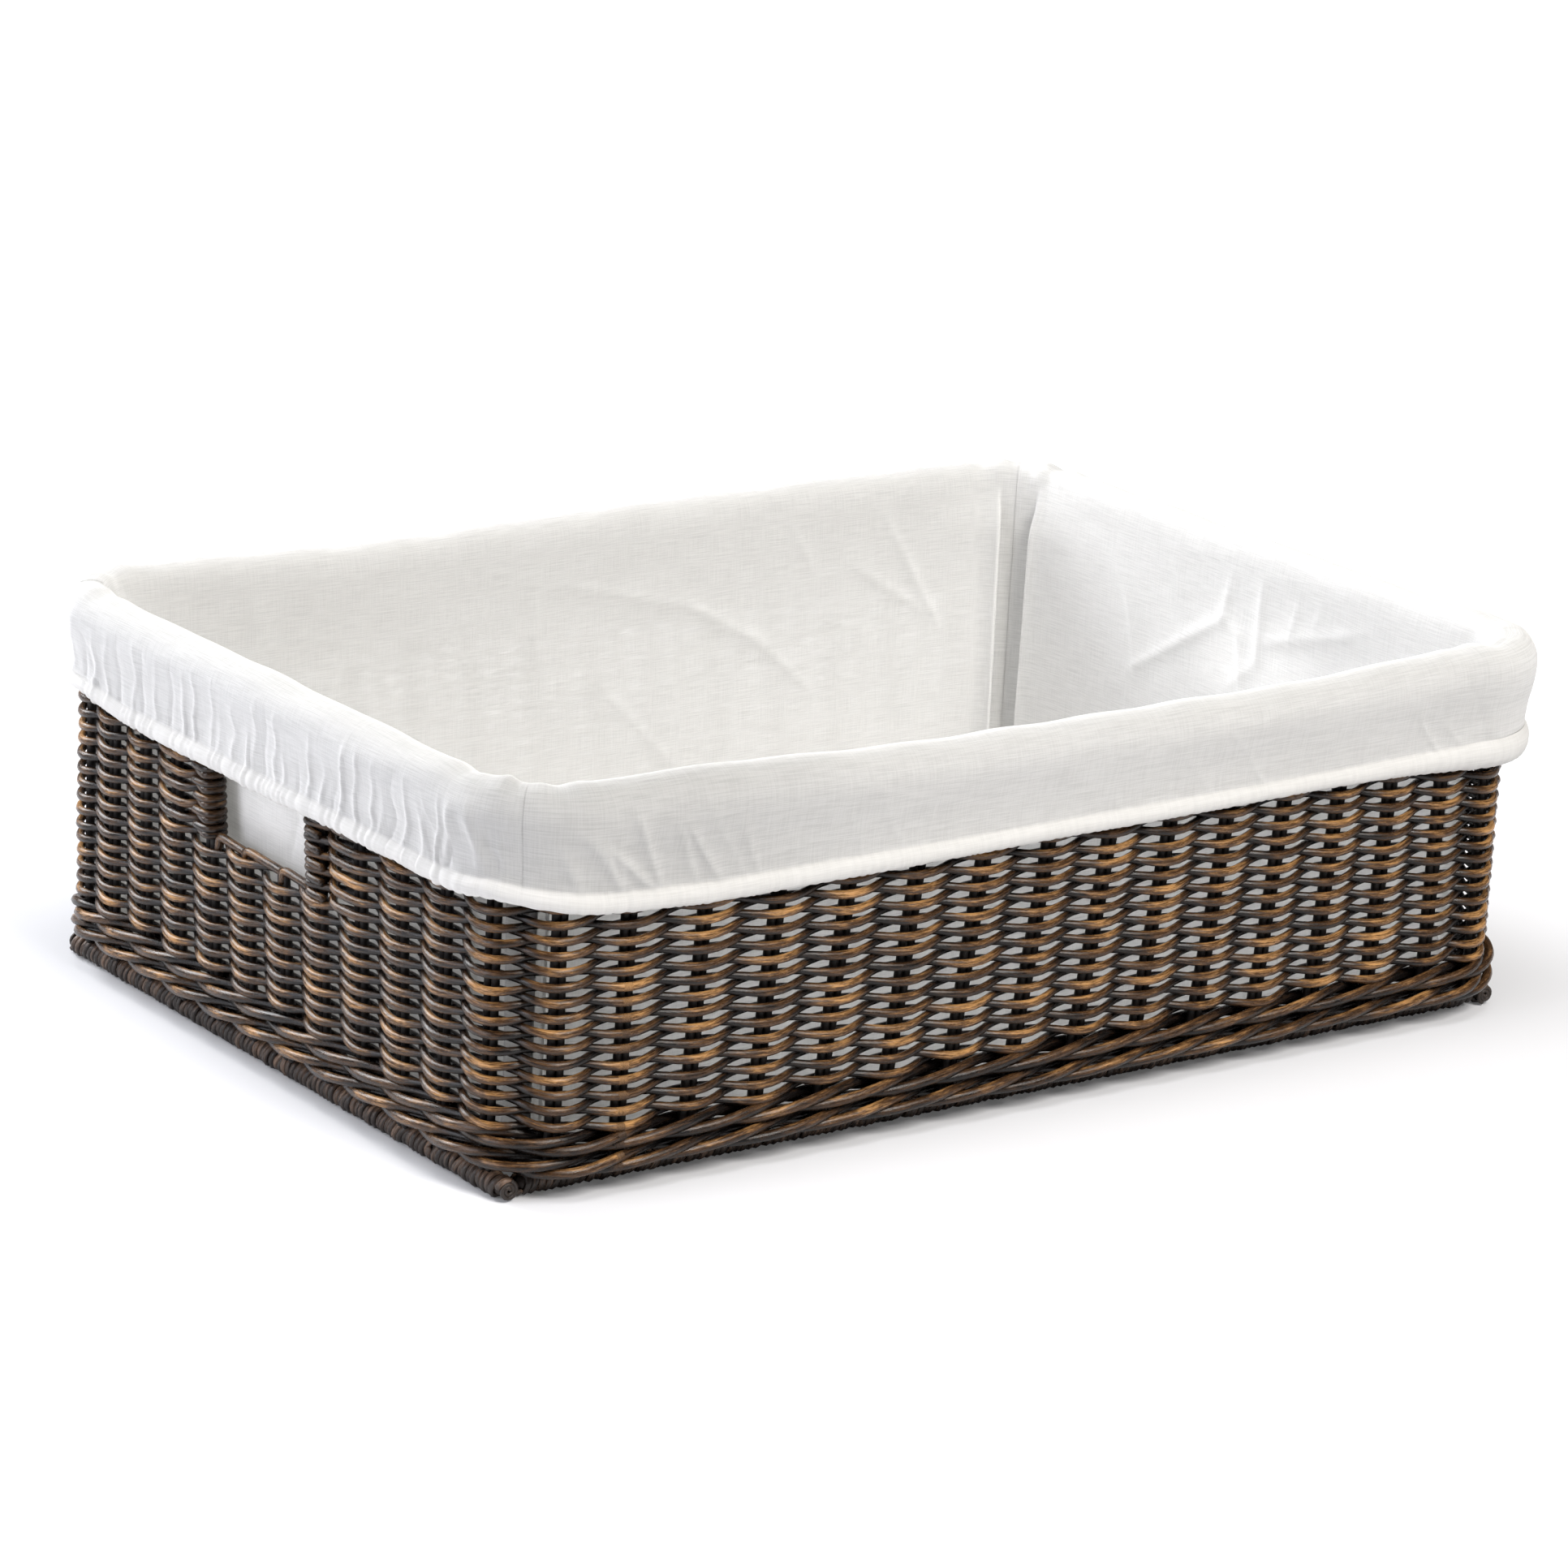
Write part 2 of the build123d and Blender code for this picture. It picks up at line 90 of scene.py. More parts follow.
# %% [markdown]
# ## Where the stakes stand
# The stakes of the real basket are not upright: they lean along the wall, most in the middle of it and
# hardly at the corners, because the weaving pulled them over. The photograph shows fourteen pairs on a
# long wall, ten on an end and two at each corner. Lean is kept as a distance along the line, so that a
# row of weaving at any height knows where to meet each stake.

# %% Place the stakes
FOOT, HEAD, SILL = 0.0121, 0.1858, 0.1043
station_at, station_lean, station_wall = [], [], []
mark = 0.0
for wall, count, run, lean in (("front", 14, LONG_RUN, 0.024), ("right", 10, SHORT_RUN, -0.018),
                               ("back", 14, LONG_RUN, 0.024), ("left", 10, SHORT_RUN, -0.018)):
    for number in range(count):
        share = (number + 0.5) / count
        station_at.append(mark + run * share)
        station_lean.append(lean * (1 - (2 * share - 1) ** 2))
        station_wall.append((wall, number))
    mark += run
    for number in range(2):
        station_at.append(mark + TURN * (number + 0.5) / 2)
        station_lean.append(0.0)
        station_wall.append(("corner", number))
    mark += TURN
STATIONS = len(station_at)
station_at = np.array(station_at + [station_at[0] + LAP])
station_lean = np.array(station_lean + [station_lean[0]])


def stake_at(station, height):
    """Distance along the line of a stake, or of a place between two stakes, at a height."""
    lap, inside = np.divmod(np.asarray(station, float), STATIONS)
    first = np.minimum(inside.astype(int), STATIONS - 1)
    share = inside - first
    foot = station_at[first] * (1 - share) + station_at[first + 1] * share
    lean = station_lean[first] * (1 - share) + station_lean[first + 1] * share
    return foot + lap * LAP + lean * (np.asarray(height) - FOOT) / (HEAD - FOOT)


def posts_of(wall):
    """The two stations beside the hand hole in an end wall."""
    first = station_wall.index((wall, 0))
    return first + 3, first + 6


print("stations:", STATIONS, "posts:", posts_of("right"), posts_of("left"))

# %% [markdown]
# ## Nothing is quite level
# A handmade wall wanders. Three gentle functions carry that: one lowers the rim where the photograph
# shows it sagging, one lifts the foot of the wall on the short ends, and one makes smooth seeded noise
# out of a few sine waves. Whole waves for each lap are used, so that a strand that goes all the way round
# meets its own start.

# %% Sag and wander
FRONT_SAG, BACK_SAG = 0.0052, 0.0030
SAG_FROM, SAG_OVER = 0.138, 0.055
END_LIFT, LONG_DROP, LIFT_FROM, LIFT_OVER = 0.0030, 0.0012, 0.030, 0.06


def ease(value):
    """A smooth step from 0 to 1."""
    value = np.clip(value, 0, 1)
    return value * value * (3 - 2 * value)


def rim_drop(distance):
    """How far the rim lies below its level, at a distance along the line."""
    s = np.mod(np.asarray(distance, float), LAP)
    front = ease(np.minimum(s - 0.03, LONG_RUN + 0.02 - s) / 0.19)
    back_at = LONG_RUN + SHORT_RUN + 2 * TURN
    back = ease(np.minimum(s - back_at - 0.20, back_at + LONG_RUN + 0.02 - s) / 0.16)
    return FRONT_SAG * front + BACK_SAG * back


def settle(distance, height):
    """A height after the upper wall has sagged with its rim."""
    return height - rim_drop(distance) * np.clip((height - SAG_FROM) / SAG_OVER, 0, 1)


def foot_lift(away, height):
    """How much higher the foot of the wall lies on the short ends than on the long sides."""
    share = away[:, 0] ** 2
    fade = np.clip(1 - (height - LIFT_FROM) / LIFT_OVER, 0, 1)
    return (END_LIFT * share - LONG_DROP * (1 - share)) * fade


def wander(rng, share, waves, slowest, quickest):
    """Smooth noise between about -1 and 1 over a lap that runs from 0 to 1."""
    total = np.zeros(np.shape(share))
    for _ in range(waves):
        angle = 2 * math.pi * np.asarray(share) * rng.integers(slowest, quickest + 1)
        total = total + np.sin(angle + rng.uniform(0, 2 * math.pi))
    return total / math.sqrt(waves)


def smooth_line(points, per_step):
    """A smooth line that passes through a few points."""
    p = np.asarray(points, float)
    p = np.concatenate([[2 * p[0] - p[1]], p, [2 * p[-1] - p[-2]]])
    t = np.linspace(0, 1, per_step, endpoint=False)[:, None]
    parts = []
    for a, b, c, d in zip(p, p[1:], p[2:], p[3:]):
        square, cube = 2 * a - 5 * b + 4 * c - d, 3 * b - a - 3 * c + d
        parts.append(0.5 * (2 * b + (c - a) * t + square * t ** 2 + cube * t ** 3))
    return np.concatenate(parts + [p[-2:-1]])


print("the front rim sags by %.1f mm in the middle" % (1000 * rim_drop(LONG_RUN / 2)))

# %% [markdown]
# ## Cane from points
# Every strand is a line of points with a round section. A curve with a bevel would also give tubes, but
# here each strand needs its own numbers on its surface: how far along it a point is, where round it, and
# how far it bulges out of the wall. The finish reads them later for grain, for stain rubbed off the bows
# together with a painted highlight there, and for the differences between one cane and the next. So the
# tubes are meshes, and many strands share one object.

# %% Build tubes of cane
def new_piece(name, mesh, body, nodes, finish):
    """An object that rides on its body and stands for the solids that it replaces."""
    mesh.shade_smooth()
    mesh.materials.append(finish)
    piece = bpy.data.objects.new(name, mesh)
    bpy.context.scene.collection.objects.link(piece)
    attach(piece, body)
    if nodes:
        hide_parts(*nodes)
    return piece


def keep_numbers(mesh, title, values):
    """Numbers for each point of a mesh, for its finish to read."""
    values = np.asarray(values, np.float32)
    vector = values.ndim == 2
    layer = mesh.attributes.new(title, "FLOAT_VECTOR" if vector else "FLOAT", "POINT")
    layer.data.foreach_set("vector" if vector else "value", values.ravel())


class Bundle:
    """Strands that will be one object."""

    def __init__(self):
        self.points, self.faces, self.grain, self.crown, self.tone = [], [], [], [], []
        self.total = 0

    def add(self, line, out, wide, tall, crown, tone, sides=8, closed=False):
        """One strand: its middle line, the side that faces out, its half width and half height there."""
        line, out = np.asarray(line, float), np.asarray(out, float)
        heading = np.roll(line, -1, 0) - np.roll(line, 1, 0) if closed else np.gradient(line, axis=0)
        heading /= np.linalg.norm(heading, axis=1)[:, None]
        across = out - (out * heading).sum(1)[:, None] * heading
        across /= np.linalg.norm(across, axis=1)[:, None]
        upward = np.cross(heading, across)
        wide, tall, crown = (np.broadcast_to(v, len(line)) for v in (wide, tall, crown))
        steps = np.linalg.norm(np.diff(line, axis=0), axis=1)
        run = np.concatenate([[0], np.cumsum(steps)])
        if not closed:
            tip = min(0.6 * float(np.mean(wide)), 0.5 * float(steps[0]) + 1e-4)
            line = np.concatenate([[line[0] - heading[0] * tip], line, [line[-1] + heading[-1] * tip]])
            rows = (across, upward, crown, run)
            across, upward, crown, run = (np.concatenate([v[:1], v, v[-1:]]) for v in rows)
            wide, tall = (np.concatenate([v[:1] * 0.55, v, v[-1:] * 0.55]) for v in (wide, tall))
        count = len(line)
        angle = np.arange(sides) * 2 * math.pi / sides
        cosine, sine = np.cos(angle), np.sin(angle)
        ring = line[:, None] + across[:, None] * (wide[:, None] * cosine)[..., None]
        ring = ring + upward[:, None] * (tall[:, None] * sine)[..., None]
        self.points.append(ring.reshape(-1, 3))
        self.grain.append(np.stack([np.repeat(run, sides), np.tile(cosine, count), np.tile(sine, count)], 1))
        self.crown.append(np.repeat(crown, sides))
        self.tone.append(np.full(count * sides, tone))
        rows = count if closed else count - 1
        here = np.arange(rows)[:, None] * sides + np.arange(sides)[None]
        there = (np.arange(rows)[:, None] + 1) % count * sides + np.arange(sides)[None]
        quads = np.stack([here, np.roll(here, -1, 1), np.roll(there, -1, 1), there], -1).reshape(-1, 4)
        self.faces += (quads + self.total).tolist()
        if not closed:
            self.faces.append([self.total + i for i in range(sides)][::-1])
            self.faces.append([self.total + (count - 1) * sides + i for i in range(sides)])
        self.total += count * sides

    def make(self, name, body, nodes, finish):
        """The object that holds all the strands."""
        mesh = bpy.data.meshes.new(name)
        mesh.from_pydata(np.concatenate(self.points).tolist(), [], self.faces)
        for title, values in (("grain", self.grain), ("crown", self.crown), ("tone", self.tone)):
            keep_numbers(mesh, title, np.concatenate(values))
        return new_piece(name, mesh, body, nodes, finish)


print("tube maker ready")

# %% [markdown]
# ## The finish of the cane
# The cane is stained dark and then rubbed: the bows that stand out of the wall show warm brown, while the
# ends that dive behind a stake stay almost black. That is partly the rubbed stain and partly a painted
# highlight on the bows and painted shade at the dives. The upper side of a strand is painted lighter than
# its lower side, as painted light from above, and fine streaks run along it. A picture could hold all
# that, but a few noise nodes that read the strand's own numbers do it at any distance. The streaks come
# from noise whose coordinates are long along the cane and short round it.

# %% Small helpers for finishes
def add_node(tree, kind, **values):
    """A node with its settings and input values."""
    made = tree.nodes.new(kind)
    for key, value in values.items():
        if key in made.inputs:
            made.inputs[key].default_value = value
        else:
            setattr(made, key, value)
    return made


def feed(tree, socket, value):
    """Connect a socket, or set its number or colour."""
    if isinstance(value, tuple):
        socket.default_value = value + (1.0,)
    elif isinstance(value, (int, float)):
        socket.default_value = value
    else:
        tree.links.new(value, socket)


def number_node(tree, operation, first, second):
    """A Math node on two sockets or numbers."""
    made = add_node(tree, "ShaderNodeMath", operation=operation)
    feed(tree, made.inputs[0], first)
    feed(tree, made.inputs[1], second)
    return made.outputs[0]


def blend_node(tree, share, first, second):
    """A colour between two colours."""
    made = add_node(tree, "ShaderNodeMix", data_type="RGBA")
    feed(tree, made.inputs[0], share)
    feed(tree, made.inputs[6], first)
    feed(tree, made.inputs[7], second)
    return made.outputs[2]


def ramp_node(tree, value, low, high):
    """A smooth step from 0 at one value to 1 at another."""
    made = add_node(tree, "ShaderNodeMapRange", interpolation_type="SMOOTHSTEP")
    made.inputs["From Min"].default_value = low
    made.inputs["From Max"].default_value = high
    tree.links.new(value, made.inputs["Value"])
    return made.outputs[0]


def stretched_noise(tree, vector, stretch, **values):
    """Noise that is long one way and short another."""
    scaled = add_node(tree, "ShaderNodeVectorMath", operation="MULTIPLY")
    scaled.inputs[1].default_value = stretch
    tree.links.new(vector, scaled.inputs[0])
    noise = add_node(tree, "ShaderNodeTexNoise", **values)
    tree.links.new(scaled.outputs[0], noise.inputs["Vector"])
    return noise.outputs["Fac"]


print("finish helpers ready")

# %% [markdown]
# One function mixes every cane, because they differ only in colour, in how much their bows are lightened
# by rubbing and painted highlight, and in how rough they are. The weaving cane is the liveliest. The
# stakes stay dark between the weavers, the wound cane is a little paler, and the poles are dull.

# %% Mix the cane finishes
def cane_finish(name, dark, warm, golden, rub_and_light, shine):
    """Stained cane: dark hollows, warm bows, streaks rubbed to gold; partly painted shade and highlight."""
    material = bpy.data.materials.new(name)
    material.use_nodes = True
    tree = material.node_tree
    surface = tree.nodes["Principled BSDF"]
    grain = add_node(tree, "ShaderNodeAttribute", attribute_name="grain")
    crown = add_node(tree, "ShaderNodeAttribute", attribute_name="crown").outputs["Fac"]
    tone = add_node(tree, "ShaderNodeAttribute", attribute_name="tone").outputs["Fac"]
    drift = add_node(tree, "ShaderNodeCombineXYZ")
    tree.links.new(number_node(tree, "MULTIPLY", tone, 3.7), drift.inputs[0])
    shifted = add_node(tree, "ShaderNodeVectorMath", operation="ADD")
    tree.links.new(grain.outputs["Vector"], shifted.inputs[0])
    tree.links.new(drift.outputs[0], shifted.inputs[1])
    streak = stretched_noise(tree, shifted.outputs[0], (60.0, 1.2, 1.2), Scale=1.3, Detail=5.0, Roughness=0.8)
    patch = stretched_noise(tree, shifted.outputs[0], (60.0, 0.6, 0.6), Scale=0.9, Detail=2.0, Roughness=0.5)
    fine = number_node(tree, "SUBTRACT", streak, 0.5)
    # The normal's upward part makes the upper side of each strand lighter: painted light from above.
    facing = add_node(tree, "ShaderNodeSeparateXYZ")
    tree.links.new(add_node(tree, "ShaderNodeNewGeometry").outputs["Normal"], facing.inputs[0])
    wear_and_light = number_node(tree, "MULTIPLY", crown, rub_and_light)
    for part, middle, strength in ((tone, 0.5, 0.28), (patch, 0.5, 0.8), (streak, 0.5, 2.3),
                                   (facing.outputs["Z"], 0.0, 0.22)):
        change = number_node(tree, "MULTIPLY", number_node(tree, "SUBTRACT", part, middle), strength)
        wear_and_light = number_node(tree, "ADD", wear_and_light, change)
    # Dark to warm to golden: rubbed stain and grain, with painted highlight on the bows and painted shade at
    # the dives.
    colour = blend_node(tree, ramp_node(tree, wear_and_light, 0.08, 0.85), dark, warm)
    colour = blend_node(tree, ramp_node(tree, wear_and_light, 0.62, 1.35), colour, golden)
    tree.links.new(colour, surface.inputs["Base Color"])
    rough = number_node(tree, "ADD", number_node(tree, "MULTIPLY", fine, 0.4), shine)
    tree.links.new(rough, surface.inputs["Roughness"])
    bump = add_node(tree, "ShaderNodeBump", Strength=0.45, Distance=0.0005)
    tree.links.new(streak, bump.inputs["Height"])
    tree.links.new(bump.outputs[0], surface.inputs["Normal"])
    surface.inputs["Specular IOR Level"].default_value = 0.38
    return material


WEAVER_CANE = cane_finish("stained weaving cane", (0.0045, 0.0031, 0.0026), (0.080, 0.0380, 0.0148),
                          (0.54, 0.285, 0.102), rub_and_light=0.72, shine=0.27)
STAKE_CANE = cane_finish("dark stake cane", (0.006, 0.004, 0.0033), (0.024, 0.013, 0.008),
                         (0.06, 0.036, 0.02), rub_and_light=0.35, shine=0.55)
WOUND_CANE = cane_finish("wound cane", (0.026, 0.019, 0.0155), (0.20, 0.125, 0.084),
                         (0.41, 0.27, 0.17), rub_and_light=0.8, shine=0.36)
POLE_WOOD = cane_finish("pole wood", (0.016, 0.010, 0.007), (0.050, 0.030, 0.018),
                        (0.09, 0.055, 0.033), rub_and_light=0.3, shine=0.6)
print("finishes:", WEAVER_CANE.name, STAKE_CANE.name, WOUND_CANE.name, POLE_WOOD.name)

# %% [markdown]
# ## The stakes
# Each straight wall has its stakes in pairs, so that the weaving grips two slim rods instead of one thick
# one. A straight line of points with a slight wander is enough. The short pairs under the hand holes stop
# at the sill.

# %% Stand the stakes
STAKE_HALF, STAKE_POINTS = 0.0021, 12
PAIR_STEPS, CORNER_STEPS = (-0.0022, 0.0022), (-0.0016, 0.0024)


def stand_stakes(wall):
    """All the stakes of one wall."""
    bundle = Bundle()
    rng = np.random.default_rng(len(wall) * 7 + ord(wall[0]))
    for station, (side, number) in enumerate(station_wall):
        if side != wall:
            continue
        short = wall in ("left", "right") and number in (4, 5)
        height = np.linspace(FOOT, SILL if short else HEAD, STAKE_POINTS)
        for step in (CORNER_STEPS if wall == "corner" else PAIR_STEPS):
            sway = wander(rng, height / 0.2, 3, 0, 2) * 0.0003
            s = stake_at(np.full(STAKE_POINTS, station), height) + step + sway
            place, away = walk_line(s)
            size = STAKE_HALF * rng.uniform(0.95, 1.05)
            line, out = np.column_stack([place, settle(s, height)]), np.column_stack([away, 0 * height])
            bundle.add(line, out, size, size, 0.2, rng.uniform(0, 1))
    return bundle.make("stake_rods_" + wall, "basket", ["stakes_" + wall], STAKE_CANE)


for wall in ("front", "back", "left", "right", "corner"):
    print(stand_stakes(wall).name, end=" ")
print()

# %% [markdown]
# ## One row of weaving
# A weaver passes in front of one stake and behind the next, and the row above does the opposite. Its line
# could be drawn from stake to stake by hand, but a cosine along the wall, with one half wave for each
# stake, already looks like a springy cane. Three small touches make it real: the bow in front of a stake
# sags a little, the strand is a little fatter there, and some bows are more worn than others. Beside a
# hand hole the weaver can't go on, so it turns tightly round the last stakes and its tail is tucked in
# behind them.

# %% Weave a row
ROW_START, ROW_PITCH = 0.03265, 0.00377
BOW, CANE_HALF, SAG = 0.0050, 0.00212, 0.0019


def weave_between(row, level, first, last, rng, tight=1.0):
    """Middle line, outward side, half height and wear-and-light of a weaver from one station to another."""
    place = np.linspace(first, last, int(round((last - first) * 8)) + 1)
    lap = place / STATIONS
    dive = np.where(place < first + 1, first + np.minimum(1, tight * (place - first)), place)
    dive = np.where(place > last - 1, last - np.minimum(1, tight * (last - place)), dive)
    wave = np.cos(math.pi * (dive + row))
    bend = np.sign(wave) * np.abs(wave) ** 0.85
    uneven = wander(rng, lap, 5, 4, 30)
    s = stake_at(place, level)
    flat, away = walk_line(s, BOW * bend * (1 + 0.05 * wander(rng, lap, 3, 5, 24)))
    sag = SAG * np.clip(wave, 0, 1) ** 1.2
    height = settle(s, level + 0.0006 - sag + 0.00032 * uneven) + foot_lift(away, level)
    each_bow = np.resize(rng.uniform(0.62, 1.15, STATIONS), STATIONS + 1)
    # Lighter on the bows in front of the stakes: partly rubbed stain, partly painted highlight; the dives get
    # painted shade.
    wear_and_light = np.interp(place % STATIONS, np.arange(STATIONS + 1), each_bow) * np.clip(wave + 0.1, 0, 1) ** 0.9
    tall = CANE_HALF * (0.88 + 0.20 * np.clip(wave, 0, 1) + 0.02 * uneven)
    return np.column_stack([flat, height]), np.column_stack([away, np.zeros(len(place))]), tall, wear_and_light


def post_end(row, level, post, way, rng):
    """Points of a weaver's end where it turns round the stakes beside a hand hole, tail first."""
    side = 1 if (post + row) % 2 == 0 else -1
    plan = [(rng.uniform(0.0065, 0.0095), -side * 0.0043), (0.004, -side * 0.0049), (-0.0022, -side * 0.0048),
            (-0.0054, -side * 0.0034), (-0.0066, 0.0), (-0.0054, side * 0.0034), (-0.0022, side * 0.0048)]
    rise = np.linspace(0.0012, 0, len(plan)) * side
    s = float(stake_at(post, level)) + way * np.array([along for along, _ in plan])
    flat, _ = walk_line(s, np.array([outward for _, outward in plan]))
    return np.column_stack([flat, settle(s, level + rise)])


def weave_row(bundle, row, level):
    """One whole row: a ring under the sill, and two lengths with turned ends above it."""
    rng = np.random.default_rng(1000 + row + int(level * 1e5))
    tone = rng.uniform(0, 1)
    if level < SILL:
        line, out, tall, wear_and_light = weave_between(row, level, 0, STATIONS, rng)
        bundle.add(line[:-1], out[:-1], CANE_HALF, tall[:-1], wear_and_light[:-1], tone, closed=True)
        return
    right, left = posts_of("right"), posts_of("left")
    for first, last in ((left[1] - STATIONS, right[0]), (right[1], left[0])):
        line, out, tall, wear_and_light = weave_between(row, level, first, last, rng, tight=1.6)
        begin, end = post_end(row, level, first, 1, rng), post_end(row, level, last, -1, rng)[::-1]
        start = smooth_line(np.concatenate([begin, line[2:4]]), 3)
        finish = smooth_line(np.concatenate([line[-4:-2], end]), 3)
        extra = len(start)
        line = np.concatenate([start, line[4:-4], finish])
        turned = np.full(extra, CANE_HALF)
        tall = np.concatenate([turned, tall[4:-4], turned])
        wear_and_light = np.concatenate([np.full(extra, 0.55), wear_and_light[4:-4], np.full(extra, 0.55)])
        bundle.add(line, np.tile([0, 0, 1.0], (len(line), 1)), tall, CANE_HALF, wear_and_light, tone)


print("a row every %.2f mm, of cane %.2f mm thick" % (1000 * ROW_PITCH, 2000 * CANE_HALF))

# %% [markdown]
# ## The wall, round by round
# Two weavers chase each other round the basket, so two rows make one round. Fourteen rounds show below
# the cuff. The rows above them are hidden while the liner is in place, and they show when it is taken out
# to be washed, so they are woven too.

# %% Weave the wall
ROUNDS, COVERED_BANDS, BAND_ROWS = 14, 2, 6
for number in range(ROUNDS):
    bundle = Bundle()
    for row in (2 * number, 2 * number + 1):
        weave_row(bundle, row, ROW_START + (row + 0.5) * ROW_PITCH)
    node = "weaver_round_%02d" % (number + 1)
    bundle.make("cane_round_%02d" % (number + 1), "basket", [node], WEAVER_CANE)
hidden_start = ROW_START + 2 * ROUNDS * ROW_PITCH
hidden_pitch = (HEAD - hidden_start) / (COVERED_BANDS * BAND_ROWS)
for band in range(COVERED_BANDS):
    bundle = Bundle()
    for row in range(BAND_ROWS * band, BAND_ROWS * band + BAND_ROWS):
        weave_row(bundle, row, hidden_start + (row + 0.5) * hidden_pitch)
    node = "covered_weave_%d" % (band + 1)
    bundle.make("cane_under_cuff_%d" % (band + 1), "basket", [node], WEAVER_CANE)
print("rows woven: %d in sight and %d under the cuff" % (2 * ROUNDS, COVERED_BANDS * BAND_ROWS))

# %% [markdown]
# ## The wale at the foot
# At its foot the wall is bound by two bands of waling. In each band four rods go in front of two stakes
# and behind two, each one stake later than the last, and climb over the others as they go. From outside
# that looks like a rope. A helix round the stake line does it: outward by the cosine and upward by the
# sine.

# %% Twist the wale
ROD_HALF, WALE_OUT, WALE_RISE = 0.00262, 0.0073, 0.0033
band_height = {"lower": 0.0170, "upper": 0.0274}
for title, level in band_height.items():
    for pair in range(2):
        bundle = Bundle()
        for rod in (2 * pair, 2 * pair + 1):
            rng = np.random.default_rng(300 + rod + (10 if title == "upper" else 0))
            place = np.linspace(0, STATIONS, STATIONS * 8 + 1)[:-1]
            turn = math.pi / 2 * (place - 0.5 - rod)
            flat, away = walk_line(stake_at(place, level), WALE_OUT * np.cos(turn))
            uneven = 0.0004 * wander(rng, place / STATIONS, 4, 4, 20) + foot_lift(away, level)
            # Lighter where a rod comes to the front: partly rubbed stain, partly painted highlight.
            wear_and_light = np.clip(np.cos(turn), 0, 1) * (0.75 + 0.2 * wander(rng, place / STATIONS, 4, 6, 26))
            line = np.column_stack([flat, level + WALE_RISE * np.sin(turn) + uneven])
            out = np.column_stack([away, 0 * place])
            bundle.add(line, out, ROD_HALF, ROD_HALF * 0.97, wear_and_light, rng.uniform(0, 0.8), closed=True)
        node = "wale_rod_%d" % (pair + 1 + (2 if title == "upper" else 0))
        bundle.make("wale_%s_%d" % (title, pair + 1), "basket", [node], WEAVER_CANE)
print("wale bands at", band_height)

# %% [markdown]
# ## The wound base frame
# The basket stands on four poles with cane wound closely round them. A helix would do, but on the real
# frame the turns slant, crowd and start anew here and there. So every turn is tilted along its pole by an
# amount that wanders, and each length of cane starts on its own. Where a pole ends, the cane is curled
# over the end. The poles themselves are plain round strands with a dull finish. The two at the ends lie a
# little further out than their solids, where the photograph shows them.

# %% Wind the base frame
FRAME_HALF, FRAME_LEVEL, POLE_HALF = 0.0062, 0.0057, 0.0040
WINDING_THICK, WINDING_HALF, LOWEST = 0.0013, 0.0021, 0.00135
CURL_POINTS, CURL_THICK, CURL_HALF, CURL_INNER, CURL_OUTER = 34, 0.0011, 0.0012, 0.0008, 0.0046
POLE_SHORT = 0.0035
END_X, LONG_Y = HALF_LONG - 0.0055, HALF_SHORT - 0.01461


def wind_pole(wall, middle, along, length, curled):
    """One pole and its winding: a flat cane laid round it, turn beside turn."""
    rng = np.random.default_rng(ord(wall[0]))
    bundle = Bundle()
    middle, along, up = np.array(middle), np.array(along, float), np.array([0, 0, 1.0])
    side = np.cross(up, along)
    at = -length / 2 + 0.002
    while at < length / 2 - 0.004:
        stretch = min(rng.uniform(0.05, 0.11), length / 2 - 0.003 - at)
        turns = max(2, int(round(stretch / (2 * WINDING_HALF * 0.94))))
        angle = np.linspace(0, 2 * math.pi * turns, turns * 14 + 1) + rng.uniform(0, 6.28)
        share = np.linspace(0, 1, len(angle))
        slant = 0.0019 + 0.0012 * wander(rng, share, 4, 1, 6)
        travel = at + share * stretch + slant * np.sin(angle) + 0.0004 * wander(rng, share, 4, 6, 16)
        radius = FRAME_HALF - WINDING_THICK + 0.00035 * wander(rng, share, 5, 4, 24)
        ring = side * np.cos(angle)[:, None] + up * np.sin(angle)[:, None]
        line = middle + along * travel[:, None] + ring * radius[:, None]
        line[:, 2] = np.maximum(line[:, 2], LOWEST)
        # Lighter on the upper side of each turn, as painted light from above, with random wear added.
        wear_and_light = 0.25 + 0.6 * np.clip(np.sin(angle + 0.6), 0, 1) + 0.2 * wander(rng, share, 4, 3, 20)
        bundle.add(line, ring, WINDING_THICK, WINDING_HALF, wear_and_light, rng.uniform(0, 1), sides=6)
        at += stretch + 0.0005
    for end in ((-1, 1) if curled else ()):
        angle = np.linspace(0, 2 * math.pi * 2.2, CURL_POINTS)
        ring = side * np.cos(angle * end)[:, None] + up * np.sin(angle * end)[:, None]
        ring = ring * np.linspace(CURL_INNER, CURL_OUTER, CURL_POINTS)[:, None]
        line = middle + along * end * (length / 2 + 0.0002) + ring
        out = np.tile(along * end, (CURL_POINTS, 1))
        bundle.add(line, out, CURL_THICK, CURL_HALF, 0.0, rng.uniform(0, 0.5), sides=6)
    pole = Bundle()
    reach = np.linspace(POLE_SHORT - length / 2, length / 2 - POLE_SHORT, 30)
    out = np.tile(side, (len(reach), 1))
    pole.add(middle + along * reach[:, None], out, POLE_HALF, POLE_HALF, 0.2, 0.3, sides=12)
    pole.make("pole_" + wall, "basket", ["base_rail_" + wall], POLE_WOOD)
    return bundle.make("winding_" + wall, "basket", ["base_wrap_" + wall], WOUND_CANE)


